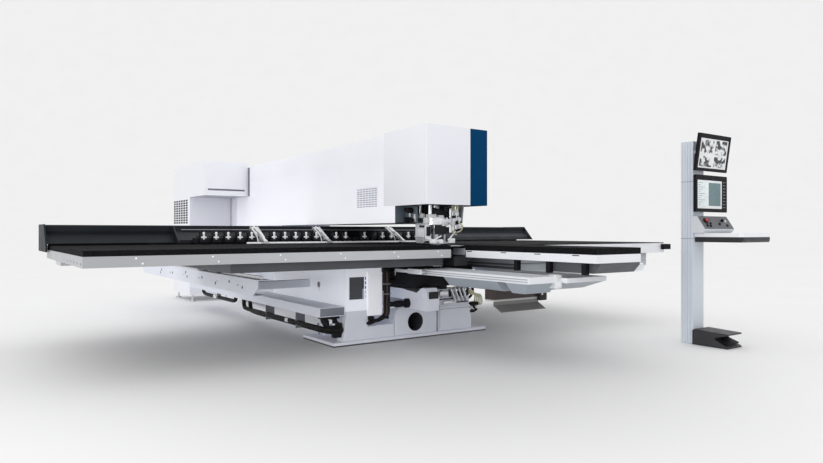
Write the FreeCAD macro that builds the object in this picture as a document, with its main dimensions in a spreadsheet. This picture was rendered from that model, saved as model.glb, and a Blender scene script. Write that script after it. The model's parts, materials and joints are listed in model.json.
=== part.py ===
import FreeCAD, Part
import math
import os
import Sketcher
from FreeCAD import Placement, Rotation, Vector

# CNC punch press: a C-frame, a punch head, a sheet table that slides front to back
# under it, and a cross-rail that carries clamps and a linear tool magazine sideways.
# Origin: centre of the front foot plate's underside. X right, Y to the rear, Z up, mm.

SIZES = dict(
    # running clearances
    run_gap=0.3, pin_gap=0.05, seat_gap=0.4,
    # front foot plate and the two pedestals welded to it
    plate_length=1944, plate_depth=665, plate_thick=41,
    anchor_radius=13, anchor_edge=61, anchor_pitch_y=220,
    level_edge=143, level_front=-166, level_back=275, level_radius=13, level_height=156,
    level_nut=22,
    foot_face=-285, foot_depth=570, pedestal_deep=88, pedestal_left=-40, pedestal_batter=47,
    pedestal_right=-10, pedestal_step=250, pedestal_low=165, body_floor=330,
    knee_left=-14, knee_front=130, knee_thick=36, knee_shoulder=155, knee_right=170,
    right_box_left=30, right_box_edge=172, right_box_top=300, box_chamfer=22,
    # centre housing with the round port
    housing_left=-235, housing_right=310, housing_round=90, port_across=30, port_height=167,
    port_radius=98, port_depth=360,
    # welded C-frame
    frame_left=-233, frame_right=512, arm_top=865, arm_front=-310, arm_under=230,
    throat_floor=-225, throat_back=2610, throat_round=120, nose_slope=44, frame_back=4300, frame_low=90,
    nose_front=-160, nose_under=-425, foot_front=20, column_front=90,
    # lower body shell on the left, its window, port and front cover
    body_left=-810, body_open=414, body_back=1500, body_top=-230, body_wall=8,
    window_left=37, window_right=206, window_low=-313, window_high=-89,
    side_port_along=575, side_port_height=-238, side_port_radius=26,
    cover_left=243, cover_low=272, cover_high=-45, cover_thick=15,
    vent_slots=5, vent_low=-303, vent_pitch=46, vent_wide=16, vent_high=30, vent_inset=10,
    # duct beam low on the left
    duct_left=-276, duct_low=290, duct_high=380, duct_front=25, duct_back=4000, duct_wall=6,
    # outboard Y-beams, outriggers and guide rails
    machine_middle=140, beam_out=1805, beam_in=1685, beam_low=-477, beam_high=-315,
    beam_front=-150, beam_slant=130, beam_chin=70, beam_back=4390, beam_wall=8,
    outrigger_low=12, outrigger_high=92, outrigger_near=500, outrigger_far=3300,
    outrigger_width=100, beam_slots=5, slot_first=350, slot_pitch=620, slot_long=46, slot_high=16,
    guide_width=30, guide_height=30, guide_front=50, guide_back=-90,
    # arm covers
    skin=15, cladding_top=46, cladding_low=-7.5,
    hood_joint=214, louvre_first=40, louvre_low=181, louvre_rows=9, louvre_columns=7,
    louvre_pitch_y=62, louvre_pitch_z=24, louvre_long=50, louvre_high=10, louvre_frame=6,
    louvre_margin=14,
    # head cover and blue side panel
    hood_front=-380, hood_low=170, hood_top=34, hood_wall=6, blue_left=-212,
    # punch axis and head
    punch_x=150, punch_y=-170,
    casting_left=-260, casting_right=250, casting_front=-220, casting_low=200,
    casting_top=-180, cylinder_radius=105, cylinder_top=200, cheek=15, cheek_front=-160,
    cheek_taper=20, web_depth=35,
    flange_left=-195, flange_right=210, flange_front=-170, flange_back=95, flange_low=205,
    flange_high=75,
    block_left=-225, block_right=-150, block_front=-120, block_back=50, block_low=18,
    column_radius=20, column_inset=42, column_x=-170, column_pitch=180,
    ram_radius=40, ram_shank=26, punch_radius=18, ram_low=-40, shank_low=52, punch_tip=12,
    ram_head=-30, ram_stroke=30,
    ring_radius=98, ring_high=38, ring_teeth=36, tooth_depth=7, tooth_gap=7,
    stripper_radius=130, stripper_hole=20, stripper_low=9, stripper_thick=20,
    stripper_rods=3, stripper_rod_radius=9, stripper_rod_circle=117, stripper_rod_top=65,
    valve_left=15, valve_right=120, valve_deep=70, valve_low=-80, valve_high=155,
    valve_barrel=16, valve_barrels=3,
    # die holder, table insert and die ring
    holder_radius=82, insert_left=-92, insert_right=85, insert_front=-95, insert_back=95,
    insert_low=-50, insert_top=-5, die_radius=60, die_pocket=-48, die_top=1, die_wall=1.5,
    # parts flap in front of the die
    flap_front=-365, flap_thick=8, flap_pin=7, flap_axis_y=-112, flap_axis_z=-14, ear=14,
    flap_side=4,
    # chute, trays, scrap slide and pneumatic unit in front of the frame
    chute_right=146, chute_front=-90, chute_bend=-2, chute_wall=6,
    tray_left=-150, tray_split=356, tray_right=514, tray_front=-2120, tray_far=-80,
    tray_low=-295, tray_high=56, tray_flat_high=40, tray_wall=5, tray_step=26, tray_gap=6,
    funnel_front=20, funnel_back=280, funnel_low=-90, funnel_mouth_front=110,
    funnel_mouth_back=260, funnel_inset=60, hopper_low=-72, hopper_front=10,
    hopper_back=540, hopper_mouth=210,
    slide_left=-66, slide_right=559, slide_front=-1600, slide_back=110, slide_low=-190,
    slide_high=-90, slide_hanger=20, slide_sheet=4, slide_reach=100, slide_drop=50,
    slide_skirt=38, slide_end=62, hanger_inset=120,
    unit_left=345, unit_middle=215, unit_right=220, unit_top=500, unit_low_top=420,
    unit_depth=285, unit_rod=13, unit_lever=24,
    # tables
    table_low=-123, skirt_low=-42, table_top=985, table_back=50, rib=20, bay=520,
    left_table_left=-3220, left_table_right=-100, left_table_front=-860,
    right_table_left=18, right_table_right=3250, right_table_front=-1100, end_panel=12,
    brush_groove=5, brush_pitch=157, skirt_reveal=3,
    bumper_left=-70, bumper_right=80, bumper_front=-40, bumper_back=40, bumper_low=-85,
    bumper_high=-20,
    middle_left=93, middle_right=575, middle_front=-2478, middle_back=-210, middle_web=180,
    middle_joint=-54, web_left=57, web_front=40, bracket_wide=44, bracket_drop=99, brackets=3,
    bracket_pitch=390,
    bracket_first=112, skirt_back=-857, shallow=48, drip_front=8, drip_back=578, drip_low=-86,
    drip_proud=45,
    # underframes that carry the tables and the cross-rail
    under_low=-205, under_bar=60, under_reach=525, rear_beam_front=62, shoe_long=250,
    shoe_first=-300, shoe_second=150, shoe_wide=110, shoe_lip=22,
    # cross-rail and its end plates
    rail_left=-20, rail_right=-30, rail_back=460, rail_front=1300, rail_low=15,
    rail_top=185, rail_shoulder=100, rail_lip=-150, rail_chamfer=25, rail_wall=12,
    end_plate=15, end_low=-61, end_front=-180, x_guide_low=120, x_guide_high=140,
    # X-carriage, magazine, cartridges and clamps
    carriage_left=-2060, carriage_end=137, carriage_face=-15, carriage_thick=23,
    carriage_top=184, carriage_knee=112, carriage_toe=21, carriage_lip_y=-145,
    carriage_floor=11, carriage_slant=110, bracket_plate=14,
    station_first=241, station_pitch=131, stations=23, magazine_front=-100,
    magazine_high=54, station_slot=32, station_deep=36, magazine_margin=70,
    holder_stem=26, holder_deep=22, holder_high=134, holder_bar=82, holder_bar_low=60,
    holder_bar_high=74, holder_pad=78, holder_pad_low=-8, tool_radius=19,
   
    clamp_wide=70, clamp_front=-272, clamp_sole=2, clamp_anvil=13, clamp_top=185,
    clamp_pin=9, clamp_pin_y=-55, clamp_pin_z=91, clamp_ear=13, jaw_gap=3, jaw_round=22,
    # ball screw and motor of the Y drive
    screw_x=-97, screw_z=-285, screw_radius=16, screw_front=105, screw_back=-50,
    bearing_thick=50, bearing_half=50, nut_half=44, nut_front=80, nut_long=130,
    motor_half=62, motor_long=190,
    # rear cabinet and upper box
    cabinet_left=-917, cabinet_front=4580, cabinet_back=920, cabinet_low=100, cabinet_top=1664,
    upper_front=3815, upper_top=521, recess_low=71, recess_high=104, recess_inset=46,
    recess_deep=14, grille_columns=6, grille_rows=10, grille_long=80, grille_hole=22,
    grille_pitch_y=139, grille_pitch_z=39.5, grille_first=126, grille_low=-412, grille_deep=12,
    foot_radius=45, foot_pad=20, foot_stem=14, foot_inset=62, column_foot_first=420,
    column_foot_second=-120, column_foot_inset=80,
    # console
    post_left=2053, post_right=185, post_front=-2210, post_back=133, post_top=290,
    post_ribs=4, rib_depth=5, rib_width=9, rib_pitch=27,
    screen_left=-59, screen_right=507, screen_back=-37, screen_forward=22,
    screen_thick=30, screen_high=368, lower_screen_low=42, upper_screen_low=415, screen_tilt=8,
    screen_bezel=3,
    screen_border=26, yoke=15, yoke_left=23, yoke_right=178, yoke_pin=9, yoke_pin_y=-19,
    yoke_reach=12, boss_high=40,
    panel_left=-33, panel_right=502, panel_back=-62, panel_top=1273, panel_slope=57,
    panel_face=150, panel_floor=-168, panel_chin=30,
    stop_radius=21, stop_stem=11, stop_along=55, stop_x=62, stop_rise=6, stop_high=16,
    stop_deep=30, knob_radius=15, knob_stem=7, knob_x=357, knob_high=20, knob_grip=6,
    shelf_left=32, shelf_right=591, shelf_front=-470, shelf_low=-90, shelf_thick=88, shelf_corner=30,
    shelf_cut=18,
    switch_left=-17, switch_right=232, switch_front=-362, switch_high=155, switch_nose=140,
    switch_lip=14, notch_y=-233, notch_z=84, notch_low=12, notch_high=127,
    pedal_barrel=9, pedal_front=-346, pedal_thick=9, pedal_inset=9, pedal_fall=36,
)

# Each of these places is measured from the size that it follows.
MEASURED_FROM = {
    "table_top": (
        "table_low skirt_low middle_joint throat_floor body_top screw_z under_low "
        "beam_high beam_low tray_low arm_under insert_low insert_top die_pocket die_top "
        "flap_axis_z stripper_low block_low flange_low rail_low carriage_floor "
        "clamp_sole bumper_low bumper_high end_low nose_under"),
    "beam_low": "outrigger_low outrigger_high",
    "body_top": "window_low window_high vent_low cover_high side_port_height",
    "tray_low": "tray_high tray_flat_high funnel_low hopper_low slide_low slide_high",
    "table_low": "drip_low",
    "rail_low": "rail_shoulder rail_top x_guide_low x_guide_high",
    "carriage_floor": (
        "carriage_toe carriage_knee carriage_top magazine_high holder_pad_low "
        "holder_bar_low holder_bar_high holder_high"),
    "clamp_sole": "clamp_anvil clamp_top clamp_pin_z",
    "stripper_low": "punch_tip shank_low",
    "flange_low": "flange_high ram_low stripper_rod_top valve_low valve_high casting_low",
    "arm_under": "cladding_low hood_low louvre_low arm_top",
    "arm_top": "cladding_top casting_top",
    "cladding_top": "hood_top",
    "casting_top": "cylinder_top ram_head",
    "cabinet_top": "upper_top recess_low recess_high grille_low",
    "panel_top": "panel_floor lower_screen_low",
    "panel_floor": "shelf_low",
    "lower_screen_low": "upper_screen_low",
    "upper_screen_low": "post_top",
    "frame_left": "screw_x",
    "frame_right": "blue_left",
    "housing_left": "pedestal_right",
    "housing_right": "right_box_left",
    "body_left": (
        "duct_left window_left window_right cover_left body_open pedestal_left "
        "pedestal_step knee_left knee_right"),
    "punch_x": (
        "casting_left casting_right flange_left flange_right block_left block_right "
        "column_x valve_left valve_right insert_left insert_right left_table_right "
        "middle_left"),
    "middle_left": "middle_right web_left",
    "middle_right": "right_table_left",
    "right_table_right": "bumper_left bumper_right rail_right",
    "left_table_left": "rail_left",
    "carriage_left": "station_first",
    "slide_left": "slide_right",
    "tray_left": "tray_split chute_right",
    "tray_split": "tray_right",
    "unit_left": "unit_middle",
    "unit_middle": "unit_right",
    "post_left": (
        "post_right screen_left screen_right yoke_left yoke_right panel_left "
        "panel_right stop_x knob_x shelf_left shelf_right switch_left switch_right"),
    "arm_front": "punch_y hood_joint",
    "punch_y": (
        "casting_front cheek_front flange_front flange_back block_front block_back "
        "insert_front insert_back flap_front flap_axis_y hood_front nose_front"),
    "nose_front": "chute_front web_front",
    "foot_face": "chute_bend duct_front side_port_along screw_front",
    "throat_back": "column_front screw_back middle_back",
    "column_front": "column_foot_first",
    "frame_back": "column_foot_second",
    "beam_front": "guide_front",
    "beam_back": "guide_back",
    "rail_front": (
        "rail_back rail_lip end_front carriage_face table_back rear_beam_front "
        "nut_front shoe_first shoe_second"),
    "carriage_face": "carriage_lip_y",
    "carriage_lip_y": "magazine_front clamp_front clamp_pin_y",
    "right_table_front": "bumper_front bumper_back",
    "middle_front": "bracket_first drip_front drip_back",
    "tray_front": "funnel_front funnel_back funnel_mouth_front funnel_mouth_back tray_far",
    "tray_far": "hopper_front hopper_back hopper_mouth",
    "slide_front": "slide_back",
    "cabinet_front": "cabinet_back grille_first",
    "post_front": (
        "post_back screen_back yoke_pin_y panel_back shelf_front switch_front notch_y "
        "pedal_front"),
}


class Size:
    """A length that carries both its number and the sheet expression behind it."""

    def __init__(self, text, value):
        self.text = text
        self.value = value

    def joined(self, sign, other, value):
        return Size("(%s %s %s)" % (self.text, sign, as_size(other).text), value)

    def __add__(self, other):
        return self.joined("+", other, self.value + as_size(other).value)

    def __radd__(self, other):
        return as_size(other) + self

    def __sub__(self, other):
        return self.joined("-", other, self.value - as_size(other).value)

    def __rsub__(self, other):
        return as_size(other) - self

    def __mul__(self, other):
        return self.joined("*", other, self.value * as_size(other).value)

    def __rmul__(self, other):
        return as_size(other) * self

    def __truediv__(self, other):
        return self.joined("/", other, self.value / as_size(other).value)

    def __neg__(self):
        return as_size(0) - self


def as_size(number):
    if isinstance(number, Size):
        return number
    return Size(repr(float(number)), float(number))


def sine(angle):
    return Size("sin(%s)" % angle.text, math.sin(math.radians(angle.value)))


def cosine(angle):
    return Size("cos(%s)" % angle.text, math.cos(math.radians(angle.value)))


class Sheet:
    """The table of driving dimensions; each one reads as an attribute."""

    def __init__(self, doc, sizes):
        self.page = doc.addObject("Spreadsheet::Sheet", "Dims")
        for row, (alias, value) in enumerate(sizes.items(), 1):
            cell = "B%d" % row
            self.page.set("A%d" % row, alias)
            self.page.set(cell, str(value))
            self.page.setAlias(cell, alias)
            setattr(self, alias, Size("Dims." + alias, float(value)))
        doc.recompute()


doc = FreeCAD.newDocument("punch_press")
d = Sheet(doc, SIZES)
for base, followers in MEASURED_FROM.items():
    for name in followers.split():
        setattr(d, name, getattr(d, base) + getattr(d, name))
d.anchor_pitch_x = d.plate_length - d.anchor_edge * 2
d.level_pitch_x = d.plate_length - d.level_edge * 2
d.right_box_right = d.plate_length / 2 - d.right_box_edge
d.cladding_left = d.frame_left - d.skin
d.cladding_right = d.frame_right + d.skin
d.guide_offset = (d.beam_in + d.beam_out) / 2
d.carriage_right = d.station_first + d.station_pitch * (d.stations - 1) + d.carriage_end
NODES = []
TURN = {"x": Rotation(Vector(0, 1, 0), 90), "y": Rotation(Vector(1, 0, 0), -90), "z": Rotation()}


def bind(thing, name, size):
    thing.setExpression(name, as_size(size).text)


def put(thing, x, y, z):
    """Bind where an object stands, keeping the way it is turned."""
    for axis, size in zip("xyz", (x, y, z)):
        bind(thing, "Placement.Base." + axis, size)
    return thing


def node(thing, name):
    """Name a finished piece and put it on the list of pieces to write."""
    thing.Label = name
    NODES.append(thing)
    return thing


def block(x, y, z):
    """A block; x, y and z are each a (low, high) pair."""
    piece = doc.addObject("Part::Box", "block")
    for name, (low, high) in zip(("Length", "Width", "Height"), (x, y, z)):
        bind(piece, name, as_size(high) - low)
    return put(piece, x[0], y[0], z[0])


def rod(axis, radius, start, length):
    """A round bar along one axis from its first end."""
    piece = doc.addObject("Part::Cylinder", "rod")
    piece.Placement = Placement(Vector(), TURN[axis])
    bind(piece, "Radius", radius)
    bind(piece, "Height", length)
    return put(piece, *start)


def tilted_rod(radius, start, angle, length):
    """A round bar that leans from +Z towards -Y by an angle in degrees."""
    piece = doc.addObject("Part::Cylinder", "rod")
    piece.Placement = Placement(Vector(), Rotation(Vector(1, 0, 0), 1))
    bind(piece, "Placement.Rotation.Angle", angle)
    bind(piece, "Radius", radius)
    bind(piece, "Height", length)
    return put(piece, *start)


def fuse(*pieces):
    if len(pieces) == 1:
        return pieces[0]
    whole = doc.addObject("Part::MultiFuse", "fuse")
    whole.Shapes = list(pieces)
    whole.Refine = True
    return whole


def group(*pieces):
    """Like pieces that share one name but stay separate solids."""
    whole = doc.addObject("Part::Compound", "group")
    whole.Links = list(pieces)
    return whole


def cut(base, *tools):
    whole = doc.addObject("Part::Cut", "cut")
    whole.Base = base
    whole.Tool = fuse(*tools)
    whole.Refine = True
    return whole


def round_edges(base, radius, picker, bevel=False):
    """Round or bevel the edges of a piece that the picker accepts."""
    doc.recompute()
    kind = "Part::Chamfer" if bevel else "Part::Fillet"
    whole = doc.addObject(kind, "edge")
    whole.Base = base
    size = as_size(radius).value
    chosen = [i for i, edge in enumerate(base.Shape.Edges, 1) if picker(edge)]
    whole.Edges = [(i, size, size) for i in chosen]
    return whole


def along(axis, **limits):
    """A picker for straight edges along one axis through the given places."""
    names = "xyz"

    def picker(edge):
        if len(edge.Vertexes) != 2:
            return False
        first, last = (vertex.Point for vertex in edge.Vertexes)
        for i, name in enumerate(names):
            if name != axis and abs(first[i] - last[i]) > 0.01:
                return False
            wanted = limits.get(name)
            if wanted is not None and min(abs(first[i] - as_size(w).value) for w in wanted) > 0.01:
                return False
        return True

    return picker


def plane_of(body, role):
    return [part for part in body.Origin.OriginFeatures if part.Role == role][0]


# For each sketch plane: which way its normal points along the third axis.
PLANES = {"XY": 1, "XZ": -1, "YZ": 1}


def sketch_on(body, plane, offset):
    sketch = body.newObject("Sketcher::SketchObject", "outline")
    sketch.AttachmentSupport = [(plane_of(body, plane + "_Plane"), "")]
    sketch.MapMode = "FlatFace"
    bind(sketch, "AttachmentOffset.Base.z", offset)
    return sketch


def draw_polygon(sketch, points):
    """A closed outline whose corners are all bound to the sheet."""
    corners = [(as_size(u), as_size(v)) for u, v in points]
    first = sketch.GeometryCount
    count = len(corners)
    for i, (u, v) in enumerate(corners):
        u_next, v_next = corners[(i + 1) % count]
        start, end = Vector(u.value, v.value, 0), Vector(u_next.value, v_next.value, 0)
        sketch.addGeometry(Part.LineSegment(start, end))
    for i in range(count):
        after = first + (i + 1) % count
        sketch.addConstraint(Sketcher.Constraint("Coincident", first + i, 2, after, 1))
    for i, corner in enumerate(corners):
        for kind, size in zip(("DistanceX", "DistanceY"), corner):
            rule = Sketcher.Constraint(kind, -1, 1, first + i, 1, size.value)
            index = sketch.addConstraint(rule)
            sketch.setExpression("Constraints[%d]" % index, size.text)


def draw_circle(sketch, u, v, radius):
    u, v, radius = as_size(u), as_size(v), as_size(radius)
    circle = Part.Circle(Vector(u.value, v.value, 0), Vector(0, 0, 1), radius.value)
    index = sketch.addGeometry(circle)
    rules = (("DistanceX", (-1, 1, index, 3), u), ("DistanceY", (-1, 1, index, 3), v),
             ("Radius", (index,), radius))
    for kind, places, size in rules:
        rule = Sketcher.Constraint(kind, *places, size.value)
        sketch.setExpression("Constraints[%d]" % sketch.addConstraint(rule), size.text)


def new_body():
    return doc.addObject("PartDesign::Body", "body")


def pad(body, plane, points, low, high):
    """Extrude an outline between two places on the plane's own axis."""
    start = low if PLANES[plane] > 0 else -as_size(high)
    sketch = sketch_on(body, plane, start)
    draw_polygon(sketch, points)
    feature = body.newObject("PartDesign::Pad", "pad")
    feature.Profile = sketch
    bind(feature, "Length", as_size(high) - low)
    return feature


def pocket(body, plane, low, high, points=None, circle=None):
    """Cut an outline or a circle away between two places on the plane's own axis."""
    before = body_volume(body)
    start = high if PLANES[plane] > 0 else -as_size(low)
    sketch = sketch_on(body, plane, start)
    if points:
        draw_polygon(sketch, points)
    if circle:
        draw_circle(sketch, *circle)
    feature = body.newObject("PartDesign::Pocket", "pocket")
    feature.Profile = sketch
    bind(feature, "Length", as_size(high) - low)
    if body_volume(body) >= before:
        raise RuntimeError("a pocket cut nothing in " + body.Label)
    return feature


def body_volume(body):
    doc.recompute()
    return body.Shape.Volume


def rows(body, feature, axis, pitch, count, second=None):
    """Repeat a pocket along one body axis, or along two."""
    feature.Visibility = False
    patterns = []
    for way, step, number in [(axis, pitch, count)] + ([second] if second else []):
        pattern = body.newObject("PartDesign::LinearPattern", "row")
        pattern.Direction = (plane_of(body, way + "_Axis"), [""])
        bind(pattern, "Length", as_size(step) * (as_size(number) - 1))
        bind(pattern, "Occurrences", number)
        patterns.append(pattern)
    if second:
        both = body.newObject("PartDesign::MultiTransform", "rows")
        both.Originals = [feature]
        both.Transformations = patterns
        body.Tip = both
        return both
    patterns[0].Originals = [feature]
    body.Tip = patterns[0]
    return patterns[0]


def prism(plane, points, low, high):
    """One padded outline as a body of its own."""
    body = new_body()
    pad(body, plane, points, low, high)
    return body


def rectangle(u, v):
    return [(u[0], v[0]), (u[1], v[0]), (u[1], v[1]), (u[0], v[1])]


# Front foot -------------------------------------------------------------------

def foot_plate():
    half_x, half_y = d.plate_length / 2, d.plate_depth / 2
    body = new_body()
    pad(body, "XY", rectangle((-half_x, half_x), (-half_y, half_y)), 0, d.plate_thick)
    for pitch_x, first_y, last_y, radius in (
            (d.anchor_pitch_x, -d.anchor_pitch_y / 2, d.anchor_pitch_y / 2, d.anchor_radius),
            (d.level_pitch_x, d.level_front, d.level_back, d.level_radius)):
        hole = pocket(body, "XY", 0, d.plate_thick, circle=(-pitch_x / 2, first_y, radius))
        rows(body, hole, "X", pitch_x, 2, second=("Y", last_y - first_y, 2))
    left = prism("XZ", [(d.pedestal_left, d.plate_thick),
                        (d.pedestal_left + d.pedestal_batter, d.body_floor),
                        (d.pedestal_step, d.body_floor), (d.pedestal_step, d.pedestal_low),
                        (d.pedestal_right, d.pedestal_low), (d.pedestal_right, d.plate_thick)],
                 d.foot_face, d.foot_face + d.pedestal_deep)
    knee = prism("XZ", [(d.knee_left, d.plate_thick), (d.knee_left, d.knee_shoulder),
                        (d.knee_right, d.body_floor), (d.pedestal_right, d.body_floor),
                        (d.pedestal_right, d.plate_thick)],
                 d.knee_front, d.knee_front + d.knee_thick)
    right = block((d.right_box_left, d.right_box_right), (d.foot_face, d.foot_face + d.foot_depth),
                  (d.plate_thick, d.right_box_top))
    right = round_edges(right, d.box_chamfer,
                        along("y", z=[d.right_box_top], x=[d.right_box_left, d.right_box_right]),
                        bevel=True)
    node(fuse(body, left, knee, right), "foot_plate")


def levelling_screws():
    screws = []
    for side_x in (-1, 1):
        for y in (d.level_front, d.level_back):
            x = d.level_pitch_x * (side_x * 0.5)
            stem = rod("z", d.level_radius, (x, y, 0), d.level_height)
            nut = doc.addObject("Part::Prism", "nut")
            nut.Polygon = 6
            bind(nut, "Circumradius", d.level_nut)
            bind(nut, "Height", d.level_nut)
            put(nut, x, y, d.plate_thick)
            screws.append(fuse(stem, nut))
    node(group(*screws), "levelling_screws")


def centre_housing():
    body = new_body()
    outline = rectangle((d.housing_left, d.housing_right), (d.plate_thick, d.body_floor))
    pad(body, "XZ", outline, d.foot_face, d.foot_face + d.foot_depth)
    pocket(body, "XZ", d.foot_face, d.foot_face + d.port_depth,
           circle=(d.port_across, d.port_height, d.port_radius))
    whole = round_edges(body, d.housing_round,
                        along("y", z=[d.body_floor], x=[d.housing_left]))
    node(whole, "centre_housing")


# C-frame ----------------------------------------------------------------------

def c_frame():
    side = [(d.foot_front, d.body_floor), (d.foot_front, d.nose_under),
            (d.nose_front + d.nose_slope, d.nose_under),
            (d.nose_front, d.nose_under + d.nose_slope), (d.nose_front, d.throat_floor),
            (d.throat_back, d.throat_floor), (d.throat_back, d.arm_under),
            (d.arm_front, d.arm_under), (d.arm_front, d.arm_top), (d.frame_back, d.arm_top),
            (d.frame_back, d.frame_low), (d.column_front + d.body_floor, d.frame_low),
            (d.column_front, d.body_floor)]
    frame = prism("YZ", side, d.frame_left, d.frame_right)
    frame = round_edges(frame, d.throat_round,
                        along("x", y=[d.throat_back], z=[d.throat_floor, d.arm_under]))
    blocks = []
    for start in (d.screw_front + d.bearing_thick, d.screw_back - d.bearing_thick):
        blocks.append(block((d.screw_x - d.bearing_half, d.frame_left),
                            (start - d.bearing_thick, start),
                            (d.screw_z - d.bearing_half, d.screw_z + d.bearing_half)))
    bore = rod("y", d.screw_radius + d.pin_gap, (d.screw_x, d.screw_front, d.screw_z),
               d.screw_back - d.screw_front)
    node(cut(fuse(frame, *blocks), bore), "c_frame")


def y_drive_motor():
    start = d.screw_back + d.seat_gap
    case = block((d.screw_x - d.motor_half, d.screw_x + d.motor_half),
                 (start, start + d.motor_long),
                 (d.screw_z - d.motor_half, d.screw_z + d.motor_half))
    case = round_edges(case, d.motor_half / 3, along("y"), bevel=True)
    flange = block((d.screw_x + d.motor_half / 2, d.frame_left), (start, start + d.skin),
                   (d.screw_z - d.motor_half, d.screw_z + d.motor_half))
    node(fuse(case, flange), "y_drive_motor")


def y_ball_screw():
    body = new_body()
    sketch = sketch_on(body, "XZ", -d.screw_back)
    draw_circle(sketch, 0, 0, d.screw_radius)
    shaft = body.newObject("PartDesign::Pad", "pad")
    shaft.Profile = sketch
    bind(shaft, "Length", d.screw_back - d.screw_front)
    put(body, d.screw_x, 0, d.screw_z)
    node(body, "y_ball_screw")


# Lower body on the left -------------------------------------------------------

def lower_body_shell():
    wall = d.body_wall
    front = d.foot_face
    body = new_body()
    pad(body, "XY", rectangle((d.body_left, d.frame_left), (front, d.body_back)),
        d.body_floor, d.body_top)
    pocket(body, "XY", d.body_floor + wall, d.body_top - wall,
           points=rectangle((d.body_left + wall, d.frame_left), (front + wall, d.body_back - wall)))
    pocket(body, "XY", d.body_floor + wall, d.body_top,
           points=rectangle((d.body_open, d.frame_left), (front, d.body_back)))
    pocket(body, "XZ", front, front + wall,
           points=rectangle((d.window_left, d.window_right), (d.window_low, d.window_high)))
    vent_left = d.cover_left - d.vent_inset - d.vent_wide
    vent = pocket(body, "XZ", front, front + wall,
                  points=rectangle((vent_left, vent_left + d.vent_wide),
                                   (d.vent_low, d.vent_low + d.vent_high)))
    rows(body, vent, "Z", d.vent_pitch, d.vent_slots)
    pocket(body, "YZ", d.body_left, d.body_left + wall,
           circle=(d.side_port_along, d.side_port_height, d.side_port_radius))
    node(body, "lower_body_shell")


def front_service_cover():
    cover = block((d.cover_left, d.body_open), (d.foot_face - d.cover_thick, d.foot_face),
                  (d.cover_low, d.cover_high))
    cover = round_edges(cover, d.cover_thick / 3,
                        along("z", y=[d.foot_face - d.cover_thick]))
    node(cover, "front_service_cover")


def duct_beam():
    body = new_body()
    pad(body, "XZ", rectangle((d.duct_left, d.body_left), (d.duct_low, d.duct_high)),
        d.duct_front, d.duct_back)
    wall = d.duct_wall
    pocket(body, "XZ", d.duct_front, d.duct_back,
           points=rectangle((d.duct_left + wall, d.body_left - wall),
                            (d.duct_low + wall, d.duct_high - wall)))
    node(body, "duct_beam")


# Outboard beams ---------------------------------------------------------------

def y_beam(side, reach, name):
    """A folded C-section beam; side is -1 for the left one and 1 for the right one.

    reach holds where its front and rear outriggers meet the machine."""
    outer = d.machine_middle + d.beam_out * side
    inner = d.machine_middle + d.beam_in * side
    low, high = (outer, inner) if side < 0 else (inner, outer)
    body = new_body()
    pad(body, "YZ", [(d.beam_front, d.beam_high), (d.beam_front, d.beam_high - d.beam_chin),
                     (d.beam_front + d.beam_slant, d.beam_low), (d.beam_back, d.beam_low),
                     (d.beam_back, d.beam_high)], low, high)
    wall = d.beam_wall
    hollow = (low + wall, high) if side < 0 else (low, high - wall)
    pocket(body, "YZ", *hollow,
           points=rectangle((d.beam_front, d.beam_back - wall),
                            (d.beam_low + wall, d.beam_high - wall)))
    web = (low, low + wall) if side < 0 else (high - wall, high)
    middle = (d.beam_low + d.beam_high) / 2
    slot = pocket(body, "YZ", *web,
                  points=rectangle((d.slot_first, d.slot_first + d.slot_long),
                                   (middle - d.slot_high / 2, middle + d.slot_high / 2)))
    rows(body, slot, "Y", d.slot_pitch, d.beam_slots)
    struts = []
    for start, end in zip((d.outrigger_near, d.outrigger_far), reach):
        near = inner + wall * side
        span = (near, end) if side < 0 else (end, near)
        struts.append(block(span, (start, start + d.outrigger_width),
                            (d.outrigger_low, d.outrigger_high)))
        struts.append(block((low + wall / 2, high - wall / 2), (start, start + d.outrigger_width),
                            (d.beam_low + wall / 2, d.beam_high - wall / 2)))
    node(fuse(body, *struts), name)


def guide_rail_x(side):
    return d.machine_middle + d.guide_offset * side


def y_guide_rails():
    rails = []
    for side in (-1, 1):
        middle = guide_rail_x(side)
        rails.append(block((middle - d.guide_width / 2, middle + d.guide_width / 2),
                           (d.guide_front, d.guide_back),
                           (d.beam_high, d.beam_high + d.guide_height)))
    node(group(*rails), "y_guide_rails")


# Arm covers and head cover ----------------------------------------------------

def arm_left_panel():
    body = new_body()
    pad(body, "YZ", [(d.arm_front, d.cladding_low), (d.frame_back, d.cladding_low),
                     (d.frame_back, d.cladding_top), (d.hood_joint, d.cladding_top),
                     (d.hood_joint, d.hood_low), (d.arm_front, d.hood_low)],
        d.cladding_left, d.frame_left)
    field_y = (d.louvre_first - d.louvre_margin,
               d.louvre_first + d.louvre_pitch_y * d.louvre_columns)
    field_z = (d.louvre_low - d.louvre_margin,
               d.louvre_low + d.louvre_pitch_z * d.louvre_rows)
    pocket(body, "YZ", d.cladding_left, d.cladding_left + d.louvre_frame / 2,
           points=rectangle(field_y, field_z))
    slot = pocket(body, "YZ", d.cladding_left, d.cladding_left + d.louvre_frame * 1.5,
                  points=rectangle((d.louvre_first, d.louvre_first + d.louvre_long),
                                   (d.louvre_low, d.louvre_low + d.louvre_high)))
    rows(body, slot, "Y", d.louvre_pitch_y, d.louvre_columns,
         second=("Z", d.louvre_pitch_z, d.louvre_rows))
    node(body, "arm_left_panel")


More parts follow.
